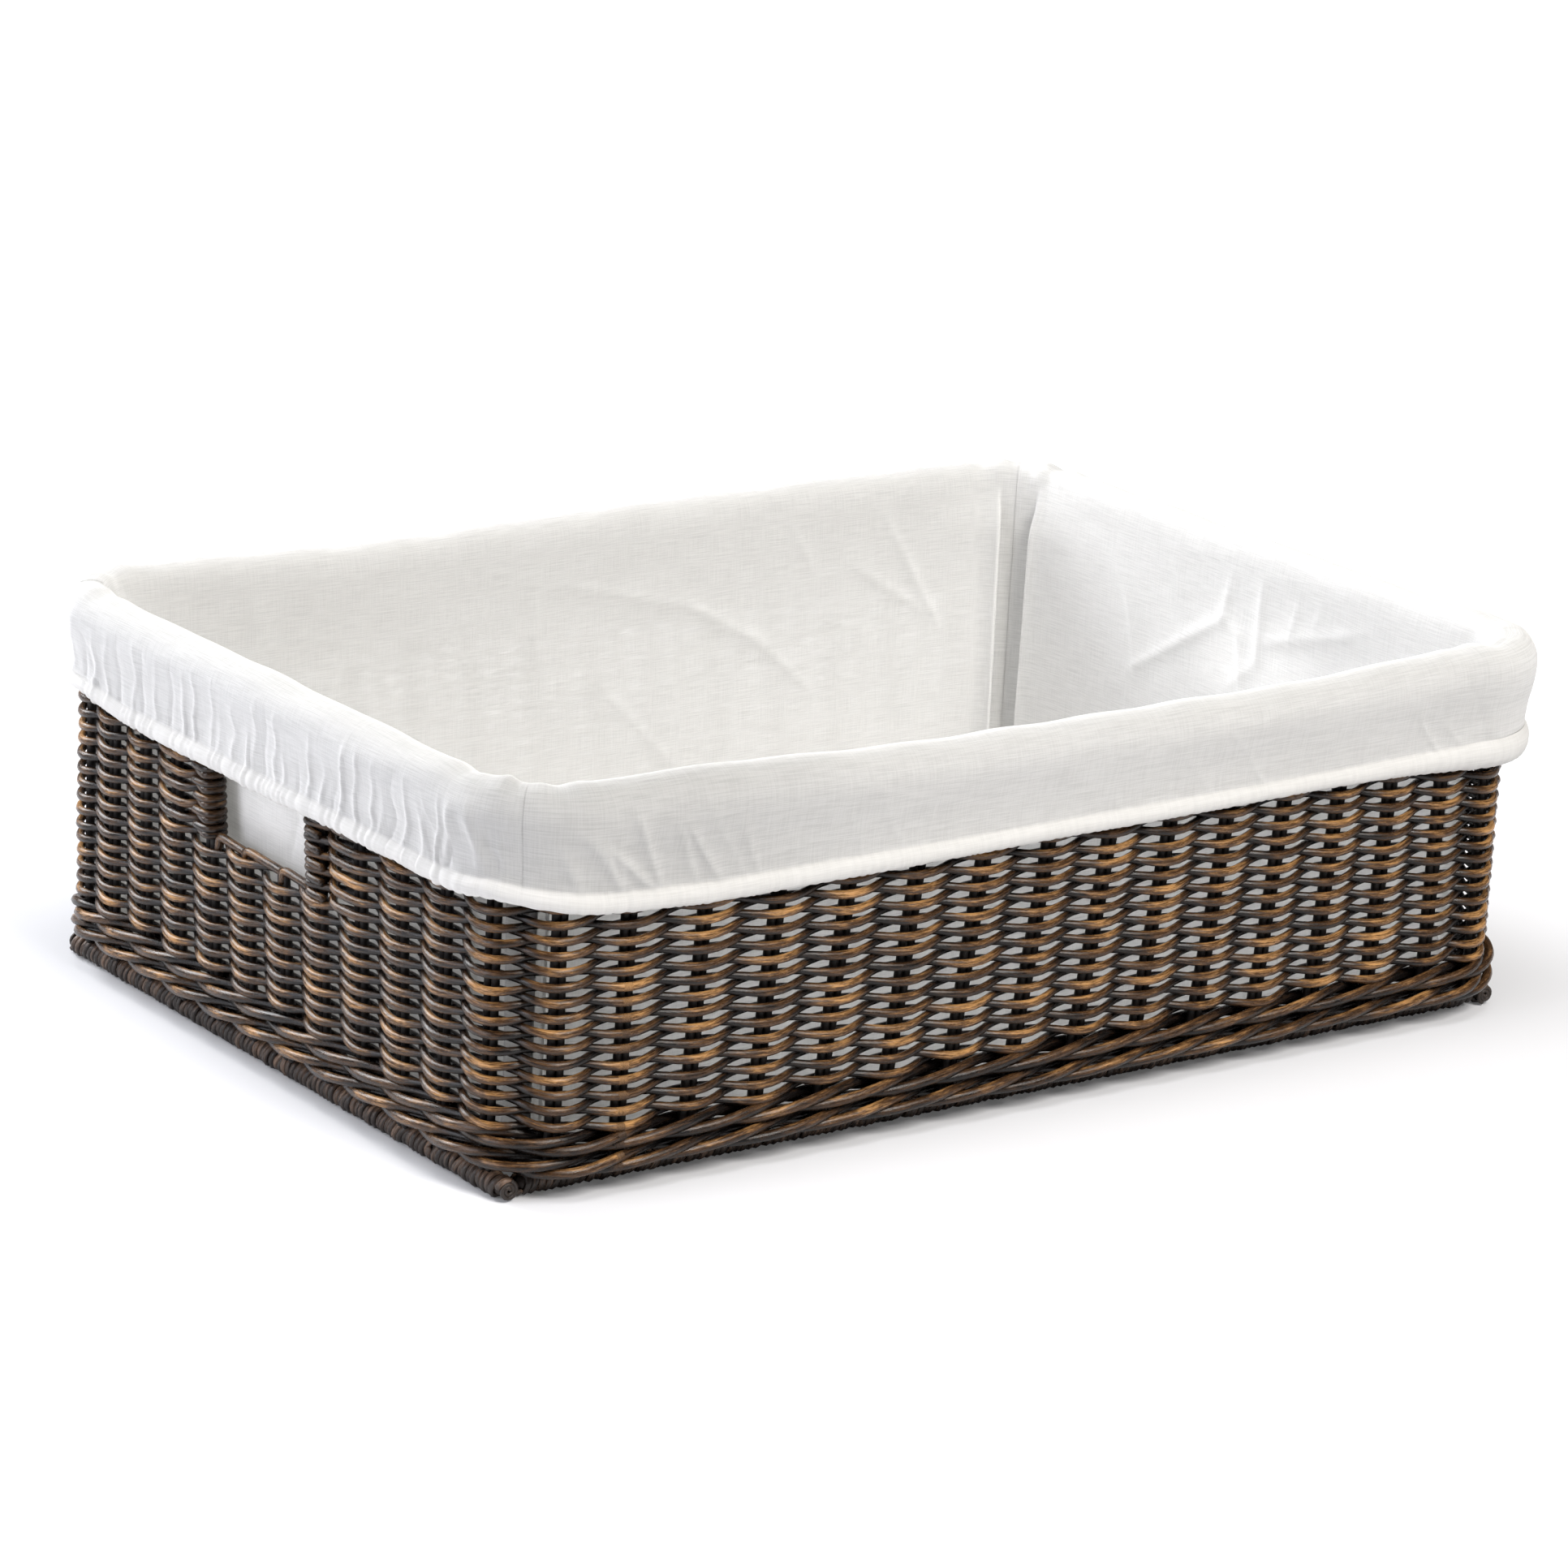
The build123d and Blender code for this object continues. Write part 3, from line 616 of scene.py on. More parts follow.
end_length, long_length = 2 * (LONG_Y + FRAME_HALF), 2 * (END_X - FRAME_HALF - 0.00015)
for title, middle, along, length in (("left", (-END_X, 0, FRAME_LEVEL), (0, -1, 0), end_length),
                                     ("right", (END_X, 0, FRAME_LEVEL), (0, 1, 0), end_length),
                                     ("front", (0, -LONG_Y, FRAME_LEVEL), (1, 0, 0), long_length),
                                     ("back", (0, LONG_Y, FRAME_LEVEL), (-1, 0, 0), long_length)):
    piece = wind_pole(title, middle, along, length, title in ("left", "right"))
    print(piece.name, len(piece.data.vertices), end="  ")
print()

# %% [markdown]
# ## The pole in the rim, the sill and the floor
# Most of this shows only when the liner is lifted out, but a basket that is turned over should still have
# its bottom. The rim is a pole with a broad cane wound openly round it. Here the turns are even, so a
# helix is enough: a second strand whose line circles round the first.

# %% Wind the rim
RIM_LEVEL, RIM_HALF, RIM_REACH, RIM_TURNS = 0.193, 0.0056, 0.0061, 226
RIM_CANE_THICK, RIM_CANE_HALF = 0.0008, 0.0041
bundle = Bundle()
rng = np.random.default_rng(77)
s = np.linspace(0, LAP, 421)[:-1]
flat, away = walk_line(s)
line, out = np.column_stack([flat, settle(s, RIM_LEVEL + 0 * s)]), np.column_stack([away, 0 * s])
bundle.add(line, out, RIM_HALF, RIM_HALF, 0.2, 0.4, sides=12, closed=True)
angle = np.linspace(0, 2 * math.pi * RIM_TURNS, RIM_TURNS * 14 + 1)[:-1]
s = angle / (2 * math.pi * RIM_TURNS) * LAP
flat, away = walk_line(s, RIM_REACH * np.cos(angle))
line = np.column_stack([flat, settle(s, RIM_LEVEL + 0 * s) + RIM_REACH * np.sin(angle)])
wear_and_light = 0.45 + 0.3 * wander(rng, s / LAP, 5, 8, 60)
out = np.column_stack([away * np.cos(angle)[:, None], np.sin(angle)])
bundle.add(line, out, RIM_CANE_THICK, RIM_CANE_HALF, wear_and_light, 0.5, sides=6, closed=True)
print(bundle.make("rim_winding", "basket", ["rim_rail"], WOUND_CANE).name)

# %% [markdown]
# The sill of a hand hole is made by the stakes under it. They could be cut off, but on the real basket
# they are bent over and laid along the sill, each as far as the next. A smooth line through six or seven
# points gives that bend.

# %% Lay the sills
SILL_TOP, SILL_OUT, SILL_WIDE, SILL_TALL, POST_ROOM = SILL + 0.0019, 0.0010, 0.0024, 0.0023, 0.0090
for wall in ("left", "right"):
    bundle = Bundle()
    first, last = posts_of(wall)
    rng = np.random.default_rng(ord(wall[0]))
    for station in range(first, last):
        to_post = station + 1 == last
        start = float(stake_at(station, SILL)) + (POST_ROOM if station == first else 0.0015)
        finish = float(stake_at(station + 1, SILL)) - (POST_ROOM if to_post else -0.0012)
        plan = [(start - 0.0005, SILL - 0.0045), (start + 0.0003, SILL_TOP - 0.0012),
                (start + 0.0030, SILL_TOP + 0.0004), ((start + finish) / 2, SILL_TOP - 0.0001),
                (finish - 0.0040, SILL_TOP - 0.0006), (finish - 0.0008, SILL_TOP - 0.0014)]
        if not to_post:
            plan.append((finish + 0.0003, SILL - 0.0040))
        plan = smooth_line(plan, 6)
        flat, away = walk_line(plan[:, 0], np.full(len(plan), SILL_OUT))
        line, out = np.column_stack([flat, plan[:, 1]]), np.column_stack([away, 0 * plan[:, 0]])
        bundle.add(line, out, SILL_WIDE, SILL_TALL, 0.75, rng.uniform(0.3, 0.8))
    piece = bundle.make("sill_" + wall, "basket", ["handle_sill_" + wall], WEAVER_CANE)
    print(piece.name, end=" ")
print()

# %% [markdown]
# The floor could be a flat plate, since the liner covers it. It shows when the liner is out, so it is
# woven too: fifteen sticks from front to back, and canes that go over one stick and under the next. Near
# the walls the canes lie flat on the base frame.

# %% Weave the floor
STICKS, STICK_LEVEL, STICK_HALF, STICK_POINTS = 15, 0.0098, 0.0021, 14
FLOOR_ROWS, FLOOR_HALF, FLOOR_EDGE, FLOOR_WAVE = 101, 0.2025, 0.0141, 0.0040
FLOOR_CANE_WIDE, FLOOR_CANE_TALL = 0.00198, 0.0018
sticks = Bundle()
stick_x = ((np.arange(STICKS) + 0.5) / STICKS - 0.5) * 2 * (END_X - FRAME_HALF)
reach = LONG_Y - FRAME_HALF - 0.0002
rng = np.random.default_rng(5)
for x in stick_x:
    y = np.linspace(-reach, reach, STICK_POINTS)
    line, out = np.column_stack([x + 0 * y, y, STICK_LEVEL + 0 * y]), np.tile([0, 0, 1.0], (STICK_POINTS, 1))
    sticks.add(line, out, STICK_HALF, STICK_HALF, 0.3, rng.uniform(0, 1))
sticks.make("floor_rods", "basket", ["floor_sticks"], STAKE_CANE)
mat = Bundle()
for row in range(FLOOR_ROWS):
    y = (row / (FLOOR_ROWS - 1) - 0.5) * 2 * FLOOR_HALF
    corner_reach = 0.0360 - 0.0065 * float(ease((abs(y) - 0.150) / 0.02))
    half = HALF_LONG - BEND + math.sqrt(corner_reach ** 2 - max(0.0, abs(y) - HALF_SHORT + BEND) ** 2)
    x = np.linspace(-half, half, STICKS * 5 + 1)
    wave = np.cos(math.pi * (x / (stick_x[1] - stick_x[0]) + row))
    inner = ease((END_X - FRAME_HALF - 0.004 - np.abs(x)) / 0.012) if abs(y) < reach - 0.003 else 0 * x
    height = FLOOR_EDGE * (1 - inner) + (STICK_LEVEL + FLOOR_WAVE * wave) * inner
    line = np.column_stack([x, y + 0.0002 * wander(rng, x / 0.6, 3, 2, 8), height])
    out = np.tile([0, 1.0, 0], (len(x), 1))
    # Lighter where the cane crosses over or under a stick: partly rubbed stain, partly painted highlight.
    wear_and_light = 0.8 * np.abs(wave)
    mat.add(line, out, FLOOR_CANE_WIDE, FLOOR_CANE_TALL, wear_and_light, rng.uniform(0, 1), sides=6)
print(mat.make("floor_weave", "basket", ["floor_mat"], WEAVER_CANE).name)

# %% [markdown]
# ## The cotton of the liner
# The liner is thin unbleached muslin. Close up it has slubs, thicker bits of yarn that run along the
# cloth and across it. The cloth is thin enough to glow when light falls on its other side, so the finish
# lets light scatter through it. In the hem it lies double, and looks whiter there. The turned cuff, most
# at the front left corner and along the rim, and the seam strips inside are painted a little darker, as
# painted shade, and each panel carries a number for that. The slubs are stretched noise, read from each
# panel's own flat coordinates.

# %% Mix the muslin
def muslin_finish(name, colour, shade, warm, glow):
    """Thin cotton with slubs both ways, and light that scatters through it."""
    material = bpy.data.materials.new(name)
    material.use_nodes = True
    tree = material.node_tree
    surface = tree.nodes["Principled BSDF"]
    flat = add_node(tree, "ShaderNodeAttribute", attribute_name="flat").outputs["Vector"]
    weft = stretched_noise(tree, flat, (55.0, 2100.0, 1.0), Scale=1.0, Detail=3.0, Roughness=0.65)
    warp = stretched_noise(tree, flat, (2100.0, 60.0, 1.0), Scale=1.0, Detail=3.0, Roughness=0.6)
    weft, warp = number_node(tree, "MULTIPLY", weft, 0.68), number_node(tree, "MULTIPLY", warp, 0.32)
    yarn = number_node(tree, "ADD", weft, warp)
    cloud = stretched_noise(tree, flat, (14.0, 14.0, 14.0), Scale=1.0, Detail=3.0, Roughness=0.55)
    tinted = blend_node(tree, number_node(tree, "MULTIPLY", cloud, 0.6), colour, warm)
    slubbed = blend_node(tree, ramp_node(tree, yarn, 0.36, 0.60), shade, tinted)
    # Painted shade: the panel's number darkens the cloth by up to a fifth.
    painted_shade = add_node(tree, "ShaderNodeAttribute", attribute_name="painted_shade").outputs["Fac"]
    shown = add_node(tree, "ShaderNodeVectorMath", operation="SCALE")
    tree.links.new(slubbed, shown.inputs[0])
    kept = number_node(tree, "SUBTRACT", 1.0, number_node(tree, "MULTIPLY", painted_shade, 0.2))
    tree.links.new(kept, shown.inputs["Scale"])
    tree.links.new(shown.outputs[0], surface.inputs["Base Color"])
    bump = add_node(tree, "ShaderNodeBump", Strength=0.35, Distance=0.0004)
    tree.links.new(yarn, bump.inputs["Height"])
    tree.links.new(bump.outputs[0], surface.inputs["Normal"])
    rough = number_node(tree, "ADD", number_node(tree, "MULTIPLY", yarn, 0.12), 0.80)
    tree.links.new(rough, surface.inputs["Roughness"])
    surface.inputs["Specular IOR Level"].default_value = 0.0
    surface.inputs["Subsurface Weight"].default_value = glow
    surface.inputs["Subsurface Radius"].default_value = (1.0, 1.0, 1.0)
    surface.inputs["Subsurface Scale"].default_value = 0.0029
    return material


MUSLIN = muslin_finish("unbleached muslin", (0.725, 0.722, 0.712), (0.605, 0.602, 0.590),
                       (0.715, 0.707, 0.683), glow=0.92)
DOUBLE_MUSLIN = muslin_finish("doubled muslin", (0.685, 0.678, 0.662), (0.62, 0.612, 0.593),
                              (0.675, 0.665, 0.64), glow=0.3)
print("finishes:", MUSLIN.name, DOUBLE_MUSLIN.name)

# %% [markdown]
# ## How a liner panel hangs
# A side panel starts at the floor seam, climbs the inside of the wall, turns over the rim and hangs
# outside as a cuff, with its hem gathered by elastic. A cloth simulation could drape it, but elastic
# gathers and pressed creases are hard to steer that way. So the panel is a grid: its cross-section is
# drawn as a smooth line, and gathers, creases and sag are added where the photograph shows them. Two
# panels lap a little at their seam.

# %% Draw the cross-section of a panel
STITCH_LEVEL, FINE_FROM, COARSE_ROWS, FINE_ROWS = 0.1526, 0.165, 74, 84
section_plan = [(-0.0142, 0.0172), (-0.0138, 0.0300), (-0.0128, 0.0700), (-0.0117, 0.1150), (-0.0106, 0.1550),
                (-0.0098, 0.1800), (-0.0090, 0.1905), (-0.0066, 0.1980), (-0.0020, 0.2012), (0.0040, 0.2010),
                (0.0096, 0.1978), (0.0130, 0.1915), (0.0138, 0.1850), (0.0128, 0.1775), (0.0111, 0.1690),
                (0.0102, 0.1610), (0.0099, 0.1560), (0.0101, 0.1526), (0.0110, 0.1508), (0.0123, 0.1486),
                (0.0128, 0.1464), (0.0124, 0.1440), (0.0113, 0.1424), (0.0101, 0.1422), (0.0093, 0.1442),
                (0.0092, 0.1475), (0.0093, 0.1512)]
section = smooth_line(section_plan, 8)
length_up = np.concatenate([[0], np.cumsum(np.linalg.norm(np.diff(section, axis=0), axis=1))])
coarse = np.linspace(0, FINE_FROM, COARSE_ROWS, endpoint=False)
UP = np.concatenate([coarse, np.linspace(FINE_FROM, length_up[-1], FINE_ROWS)])
section = np.column_stack([np.interp(UP, length_up, section[:, i]) for i in range(2)])
slope = np.gradient(section, axis=0)
slope /= np.linalg.norm(slope, axis=1)[:, None]
face_out = np.column_stack([-slope[:, 1], slope[:, 0]])
PANEL_DEPTH = float(UP[-1])
over = int(np.argmax(section[:, 1]))
TOP = float(UP[over])
STITCH = float(UP[over + int(np.argmin(np.abs(section[over:, 1] - STITCH_LEVEL)))])


def cuff_way(height):
    """How far along a panel a height on its cuff lies."""
    low = over + int(np.argmin(section[over:, 1]))
    return float(np.interp(-height, -section[over:low, 1], UP[over:low]))


print("a panel is %.3f m deep, with its rim at %.3f and its stitching at %.3f" % (PANEL_DEPTH, TOP, STITCH))

# %% [markdown]
# Elastic pulls the hem into tucks. From there, sharp little ridges climb the cuff and fade before the
# rim: many wavy ones on the short ends, and fewer, slanted ones on the long sides. Each ridge is a line
# that wanders, with a sharp crest. The pressed folds inside are straight lines from one point to another.

# %% Tucks, ridges and folds
CUFF_TOP, CUFF_FALL = 0.2012, 0.059


def climbing_ridges(rng, along, up, starts, reach, width, lean):
    """Ridges that start at the stitching and climb towards the rim."""
    total = np.zeros(along.shape)
    rise = STITCH - up
    for start in starts:
        long_way = reach * rng.uniform(0.45, 1.5)
        swing, wave, phase = rng.uniform(0.0004, 0.0022), rng.uniform(0.018, 0.045), rng.uniform(0, 6.28)
        swing = swing * np.sin(rise * 2 * math.pi / wave + phase)
        line = start + swing + rise * lean * rng.uniform(0.4, 1.5)
        crest = np.exp(-np.abs(along - line) / (width * rng.uniform(0.6, 1.5)))
        strength = rng.uniform(0.35, 1.0) * rng.choice([1, 1, -0.6])
        total += strength * crest * np.exp(-(np.maximum(rise, 0) / long_way) ** 2)
    return total


def pressed_folds(along, up, folds):
    """Straight folds, each from one point to another, with a depth and a width."""
    total = np.zeros(along.shape)
    for s0, up0, s1, up1, depth, width in folds:
        length = math.hypot(s1 - s0, up1 - up0)
        lengthwise = ((along - s0) * (s1 - s0) + (up - up0) * (up1 - up0)) / length
        across = ((along - s0) * (up1 - up0) - (up - up0) * (s1 - s0)) / length
        fade = ease((lengthwise + 0.012) / 0.02) * ease((length + 0.012 - lengthwise) / 0.02)
        total += depth * fade * np.exp(-np.sqrt(across ** 2 + 1e-6) / width)
    return total


def hem_rise(distance):
    """How much higher the hem lies, along the wall."""
    stops = [0, 0.06, LONG_RUN, LONG_RUN + SHORT_RUN, LAP - 2 * TURN - SHORT_RUN, LAP - TURN - SHORT_RUN,
             LAP - TURN - SHORT_RUN + 0.04, LAP - TURN, LAP - 0.7 * TURN, LAP]
    rises = [-0.001, -0.0042, 0.0015, 0.0030, 0.0080, 0.0075, 0.0028, 0.0038, 0.0060, -0.001]
    return np.interp(np.mod(distance, LAP), stops, rises)


def flare(distance):
    """How far the cuff stands off at the front right corner, where the elastic is slack."""
    return 0.0052 * np.exp(-((np.mod(distance, LAP) - LONG_RUN - TURN / 2) / 0.055) ** 2)


def hitch_up(distance, height):
    """A height on the cuff after the hem has been drawn up."""
    return height + hem_rise(distance) * np.clip((CUFF_TOP - height) / CUFF_FALL, 0, 1)


def cuff_shade_amount(distance):
    """How much painted shade the turned cuff gets along the wall: most at the front left corner."""
    from_corner = np.mod(np.asarray(distance) - 0.03 + LAP / 2, LAP) - LAP / 2
    return 0.45 + 0.3 * ease(-from_corner / 0.1) + 0.75 * np.exp(-(from_corner / 0.11) ** 2)


print("the hem is drawn up by %.1f mm at the far left" % (1000 * hem_rise(LAP - 2 * TURN - SHORT_RUN)))

# %% [markdown]
# All these shapes are heights above the section, so they can simply be added. Each fades out where it does
# not belong: ridges stay on the cuff, pressed folds inside, tucks in the hem, and near a seam the cloth is
# smooth. Beside each corner the inner cloth stands off the wall in a soft vertical fold. Panels on the
# ends and on the long sides differ only in a few numbers, so each kind has its own set of them.

# %% Add up the relief of a panel
LAPPED, TUCK_PITCH, CORNER_FOLD = 0.005, 0.0062, 0.0085
END_PANEL = {"gap": 0.0115, "width": 0.0016, "lean": 0.12, "share": 1.0, "ridge": 0.0022, "tuck": 0.0009,
             "fold_at": 0.0165}
SIDE_PANEL = {"gap": 0.026, "width": 0.0030, "lean": -0.55, "share": 0.3, "ridge": 0.0024, "tuck": 0.0005,
              "fold_at": 0.0105}


def parts_of(up):
    """How far a place on a panel belongs to its inside, to its cuff and to its hem."""
    inside, cuff = 1 - ease((up - TOP + 0.045) / 0.03), ease((up - TOP - 0.006) / 0.02)
    return inside, cuff, ease((up - STITCH) / 0.003)


def panel_relief(rng, s, along, up, first_seam, last_seam, kind, folds, creases):
    """How far the points of a panel stand off its section."""
    from_seam = np.minimum(along - first_seam, last_seam - along)
    free = ease(from_seam / 0.012)
    inside, cuff, hem = parts_of(up)
    gap = kind["gap"]
    starts = np.cumsum(rng.uniform(0.5, 1.5, int((last_seam - first_seam) / gap)) * gap) + first_seam
    ridges = kind["share"] * climbing_ridges(rng, along, up, starts, 0.030, kind["width"], kind["lean"])
    for seam in (first_seam, last_seam):
        near = seam + rng.uniform(-0.075, 0.075, 9)
        ridges += 0.5 * climbing_ridges(rng, along, up, near, 0.034, 0.0032, -0.45)
    bulge = kind["ridge"] * ridges * cuff * (1 - 0.6 * hem) * free
    tuck = np.abs(np.sin(math.pi * s / TUCK_PITCH + 2.6 * wander(rng, s / LAP, 6, 20, 90)))[:, None]
    bulge += hem * free * (tuck - 0.62) * kind["tuck"]
    hollow = 0.00022 * wander(rng, along / LAP + up * 2.0, 5, 6, 26)
    hollow += 0.0004 * wander(rng, along / LAP - up * 1.1, 4, 3, 12)
    bulge += hollow * free * (0.5 + 0.5 * cuff)
    bulge += free * inside * pressed_folds(along, up, folds)
    bulge += free * cuff * (1 - hem) * pressed_folds(along, up, creases)
    past_fold = from_seam - kind["fold_at"]
    corner_fold = ease(past_fold / 0.0035) * np.exp(-np.maximum(past_fold - 0.0035, 0) / 0.022)
    bulge += CORNER_FOLD * corner_fold * inside * ease((up - 0.004) / 0.03)
    bulge = np.maximum(bulge, np.where(up < TOP, -0.0003, -0.0016))
    puff = 0.0005 * wander(rng, s / LAP, 6, 8, 40)[:, None] * np.exp(-((up - TOP) / 0.016) ** 2) * free
    pucker = 0.0024 * np.exp(-(from_seam / 0.03) ** 2 - ((up - TOP) / 0.012) ** 2)
    pucker = pucker * wander(rng, s / LAP, 3, 60, 110)[:, None] * free
    bulge = bulge + puff + pucker - 0.0007 * np.clip((LAPPED - from_seam) / (2 * LAPPED), 0, 1)
    bulge += flare(along) * ease((up - TOP + 0.002) / 0.016)
    return bulge


def panel_painted_shade(along, up, first_seam, last_seam, kind):
    """Painted shade on the cloth, for its finish to read: the turned cuff, the rim and the seam strips
    inside.
    """
    from_seam = np.minimum(along - first_seam, last_seam - along)
    inside, _, hem = parts_of(up)
    # Painted shade on the turned cuff above the hem, strongest at the rim, and in the seam strip behind each
    # corner fold.
    turned = ease((up - TOP + 0.012) / 0.014) * (1 - hem)
    rim = np.exp(-((up - TOP - 0.003) / 0.010) ** 2)
    behind = inside * (1 - ease((from_seam - kind["fold_at"]) / 0.004))
    return turned * (cuff_shade_amount(along) + 0.85 * rim) + 0.4 * behind


print("panels are lapped by %.0f mm at their seams" % (1000 * LAPPED))

# %% [markdown]
# The grid of a panel runs along the wall one way and up the section the other. Each point is moved square
# to the section by its relief, carried round the corners of the stake line, and lowered with the rim. A
# Solidify modifier gives the cloth its thickness, and the hem takes the finish of doubled cloth.

# %% Hang a panel
CLOTH_THICK, GATHERED, GRID_STEP = 0.0006, 1.06, 0.0015


def thicken(piece):
    """The thickness of one layer of cloth."""
    thick = piece.modifiers.new("cloth thickness", "SOLIDIFY")
    thick.thickness, thick.offset = CLOTH_THICK, 0.0


def hang_panel(name, node, first_seam, last_seam, kind, folds, creases, seed):
    """One side panel, from seam to seam."""
    rng = np.random.default_rng(seed)
    run = last_seam - first_seam
    count = int(run / GRID_STEP)
    s = np.linspace(first_seam - LAPPED, last_seam + LAPPED, count + 1)
    along, up = np.meshgrid(s, UP, indexing="ij")
    bulge = panel_relief(rng, s, along, up, first_seam, last_seam, kind, folds, creases)
    outward = section[:, 0] + bulge * face_out[:, 0]
    height = section[:, 1] + bulge * face_out[:, 1]
    height = settle(along, np.where(up > TOP, hitch_up(along, height), height))
    flat, _ = walk_line(along.ravel(), outward.ravel())
    rows = len(UP)
    here = (np.arange(count)[:, None] * rows + np.arange(rows - 1)[None]).ravel()
    mesh = bpy.data.meshes.new(name)
    points = np.column_stack([flat, height.ravel()])
    quads = np.stack([here, here + rows, here + rows + 1, here + 1], 1)
    mesh.from_pydata(points.tolist(), [], quads.tolist())
    keep_numbers(mesh, "flat", np.column_stack([along.ravel(), up.ravel(), np.full(along.size, seed * 0.13)]))
    # Painted shade, for the finish to darken the cloth.
    keep_numbers(mesh, "painted_shade", panel_painted_shade(along, up, first_seam, last_seam, kind).ravel())
    piece = new_piece(name, mesh, "liner", [node], MUSLIN)
    mesh.materials.append(DOUBLE_MUSLIN)
    mesh.polygons.foreach_set("material_index", np.tile((UP[:-1] > STITCH).astype(np.int32), count))
    thicken(piece)
    flat = (round(run * GATHERED, 3), round(PANEL_DEPTH, 3))
    return piece


print("cloth %.1f mm thick, gathered by %.0f per cent" % (1000 * CLOTH_THICK, 100 * (GATHERED - 1)))

# %% [markdown]
# The long back panel and the right end show their inner faces in the photograph, so their pressed folds
# are placed one by one: first where each starts and ends, along the wall and in height, then how deep it
# is. The other two panels get the same folds, because their inner faces are turned away. The creases of
# the cuff round the front left corner are placed in the same way, and the opposite corner repeats them.

# %% Hang the panels
FOLD_DEPTH, FOLD_WIDTH, CREASE_DEPTH, CREASE_WIDTH = 0.0014, 0.0034, 0.0022, 0.0026
LINER_FLOOR = 0.0178
back_folds = [(-0.028, 0.194, -0.028, 0.131, 0.5), (-0.008, 0.165, 0.073, 0.144, 0.8),
              (0.073, 0.144, 0.118, 0.120, 1.5), (0.115, 0.123, 0.153, 0.090, 1.0),
              (0.200, 0.190, 0.242, 0.117, 1.2), (0.188, 0.152, 0.232, 0.124, 1.0),
              (0.139, 0.185, 0.154, 0.160, 0.8), (-0.202, 0.190, -0.204, 0.172, 0.9),
              (-0.196, 0.168, -0.215, 0.131, 0.9), (-0.146, 0.145, -0.160, 0.120, 0.8),
              (0.242, 0.117, 0.212, 0.080, 0.7), (0.02, 0.10, 0.06, 0.06, 0.7)]
right_folds = [(0.112, 0.166, 0.099, 0.146, 0.9), (0.099, 0.146, 0.086, 0.105, 1.1),
               (0.091, 0.110, 0.018, 0.156, 1.7), (0.018, 0.154, 0.012, 0.190, 1.4),
               (0.015, 0.155, 0.004, 0.150, 1.2), (-0.012, 0.190, -0.013, 0.140, 1.8),
               (-0.020, 0.152, -0.088, 0.172, 1.3), (0.068, 0.190, 0.055, 0.165, 0.9),
               (-0.045, 0.190, -0.039, 0.160, 1.2), (-0.066, 0.188, -0.058, 0.172, 1.0),
               (0.004, 0.150, -0.004, 0.112, 1.2), (-0.013, 0.140, 0.010, 0.118, 0.9)]
cuff_creases = [(-0.031, 0.185, -0.032, 0.173, 1.3), (-0.032, 0.173, -0.036, 0.158, 1.1),
                (-0.022, 0.187, -0.019, 0.173, 1.2), (-0.019, 0.173, -0.015, 0.156, 1.3),
                (0.016, 0.168, 0.021, 0.153, 1.2), (0.022, 0.180, 0.029, 0.172, 0.7),
                (0.028, 0.172, 0.040, 0.153, 1.5), (0.036, 0.170, 0.056, 0.153, 1.7),
                (0.047, 0.185, 0.062, 0.153, 1.2), (0.077, 0.177, 0.095, 0.153, 1.2),
                (0.071, 0.178, 0.082, 0.153, 0.8), (0.109, 0.173, 0.117, 0.154, 0.7)]
seams = np.cumsum([LONG_RUN + TURN / 2, SHORT_RUN + TURN, LONG_RUN + TURN, SHORT_RUN + TURN])
for index, title in enumerate(("front", "right", "back", "left")):
    ends = title in ("right", "left")
    first = seams[index] - (SHORT_RUN if ends else LONG_RUN) - TURN
    middle = (first + seams[index]) / 2
    facing = 1 if ends else -1
    folds = [(middle + facing * a, b - LINER_FLOOR, middle + facing * c, d - LINER_FLOOR, FOLD_DEPTH * depth,
              FOLD_WIDTH) for a, b, c, d, depth in (right_folds if ends else back_folds)]
    corner = seams[index] if ends else first
    creases = [(corner + a, cuff_way(b), corner + c, cuff_way(d), CREASE_DEPTH * depth, CREASE_WIDTH)
               for a, b, c, d, depth in cuff_creases if (a < 0) == ends]
    kind = END_PANEL if ends else SIDE_PANEL
    piece = hang_panel("muslin_" + title, "liner_panel_" + title, first, seams[index], kind, folds, creases,
                       21 + index)
    print(piece.name, len(piece.data.vertices), end="  ")
print()

# %% [markdown]
# ## The liner's floor
# The floor of the liner lies flat with a few soft swells. It is a grid of rings, cut to the rounded
# rectangle that the side panels leave free.

# %% Lay the liner's floor
FLOOR_SEAM = -0.0136


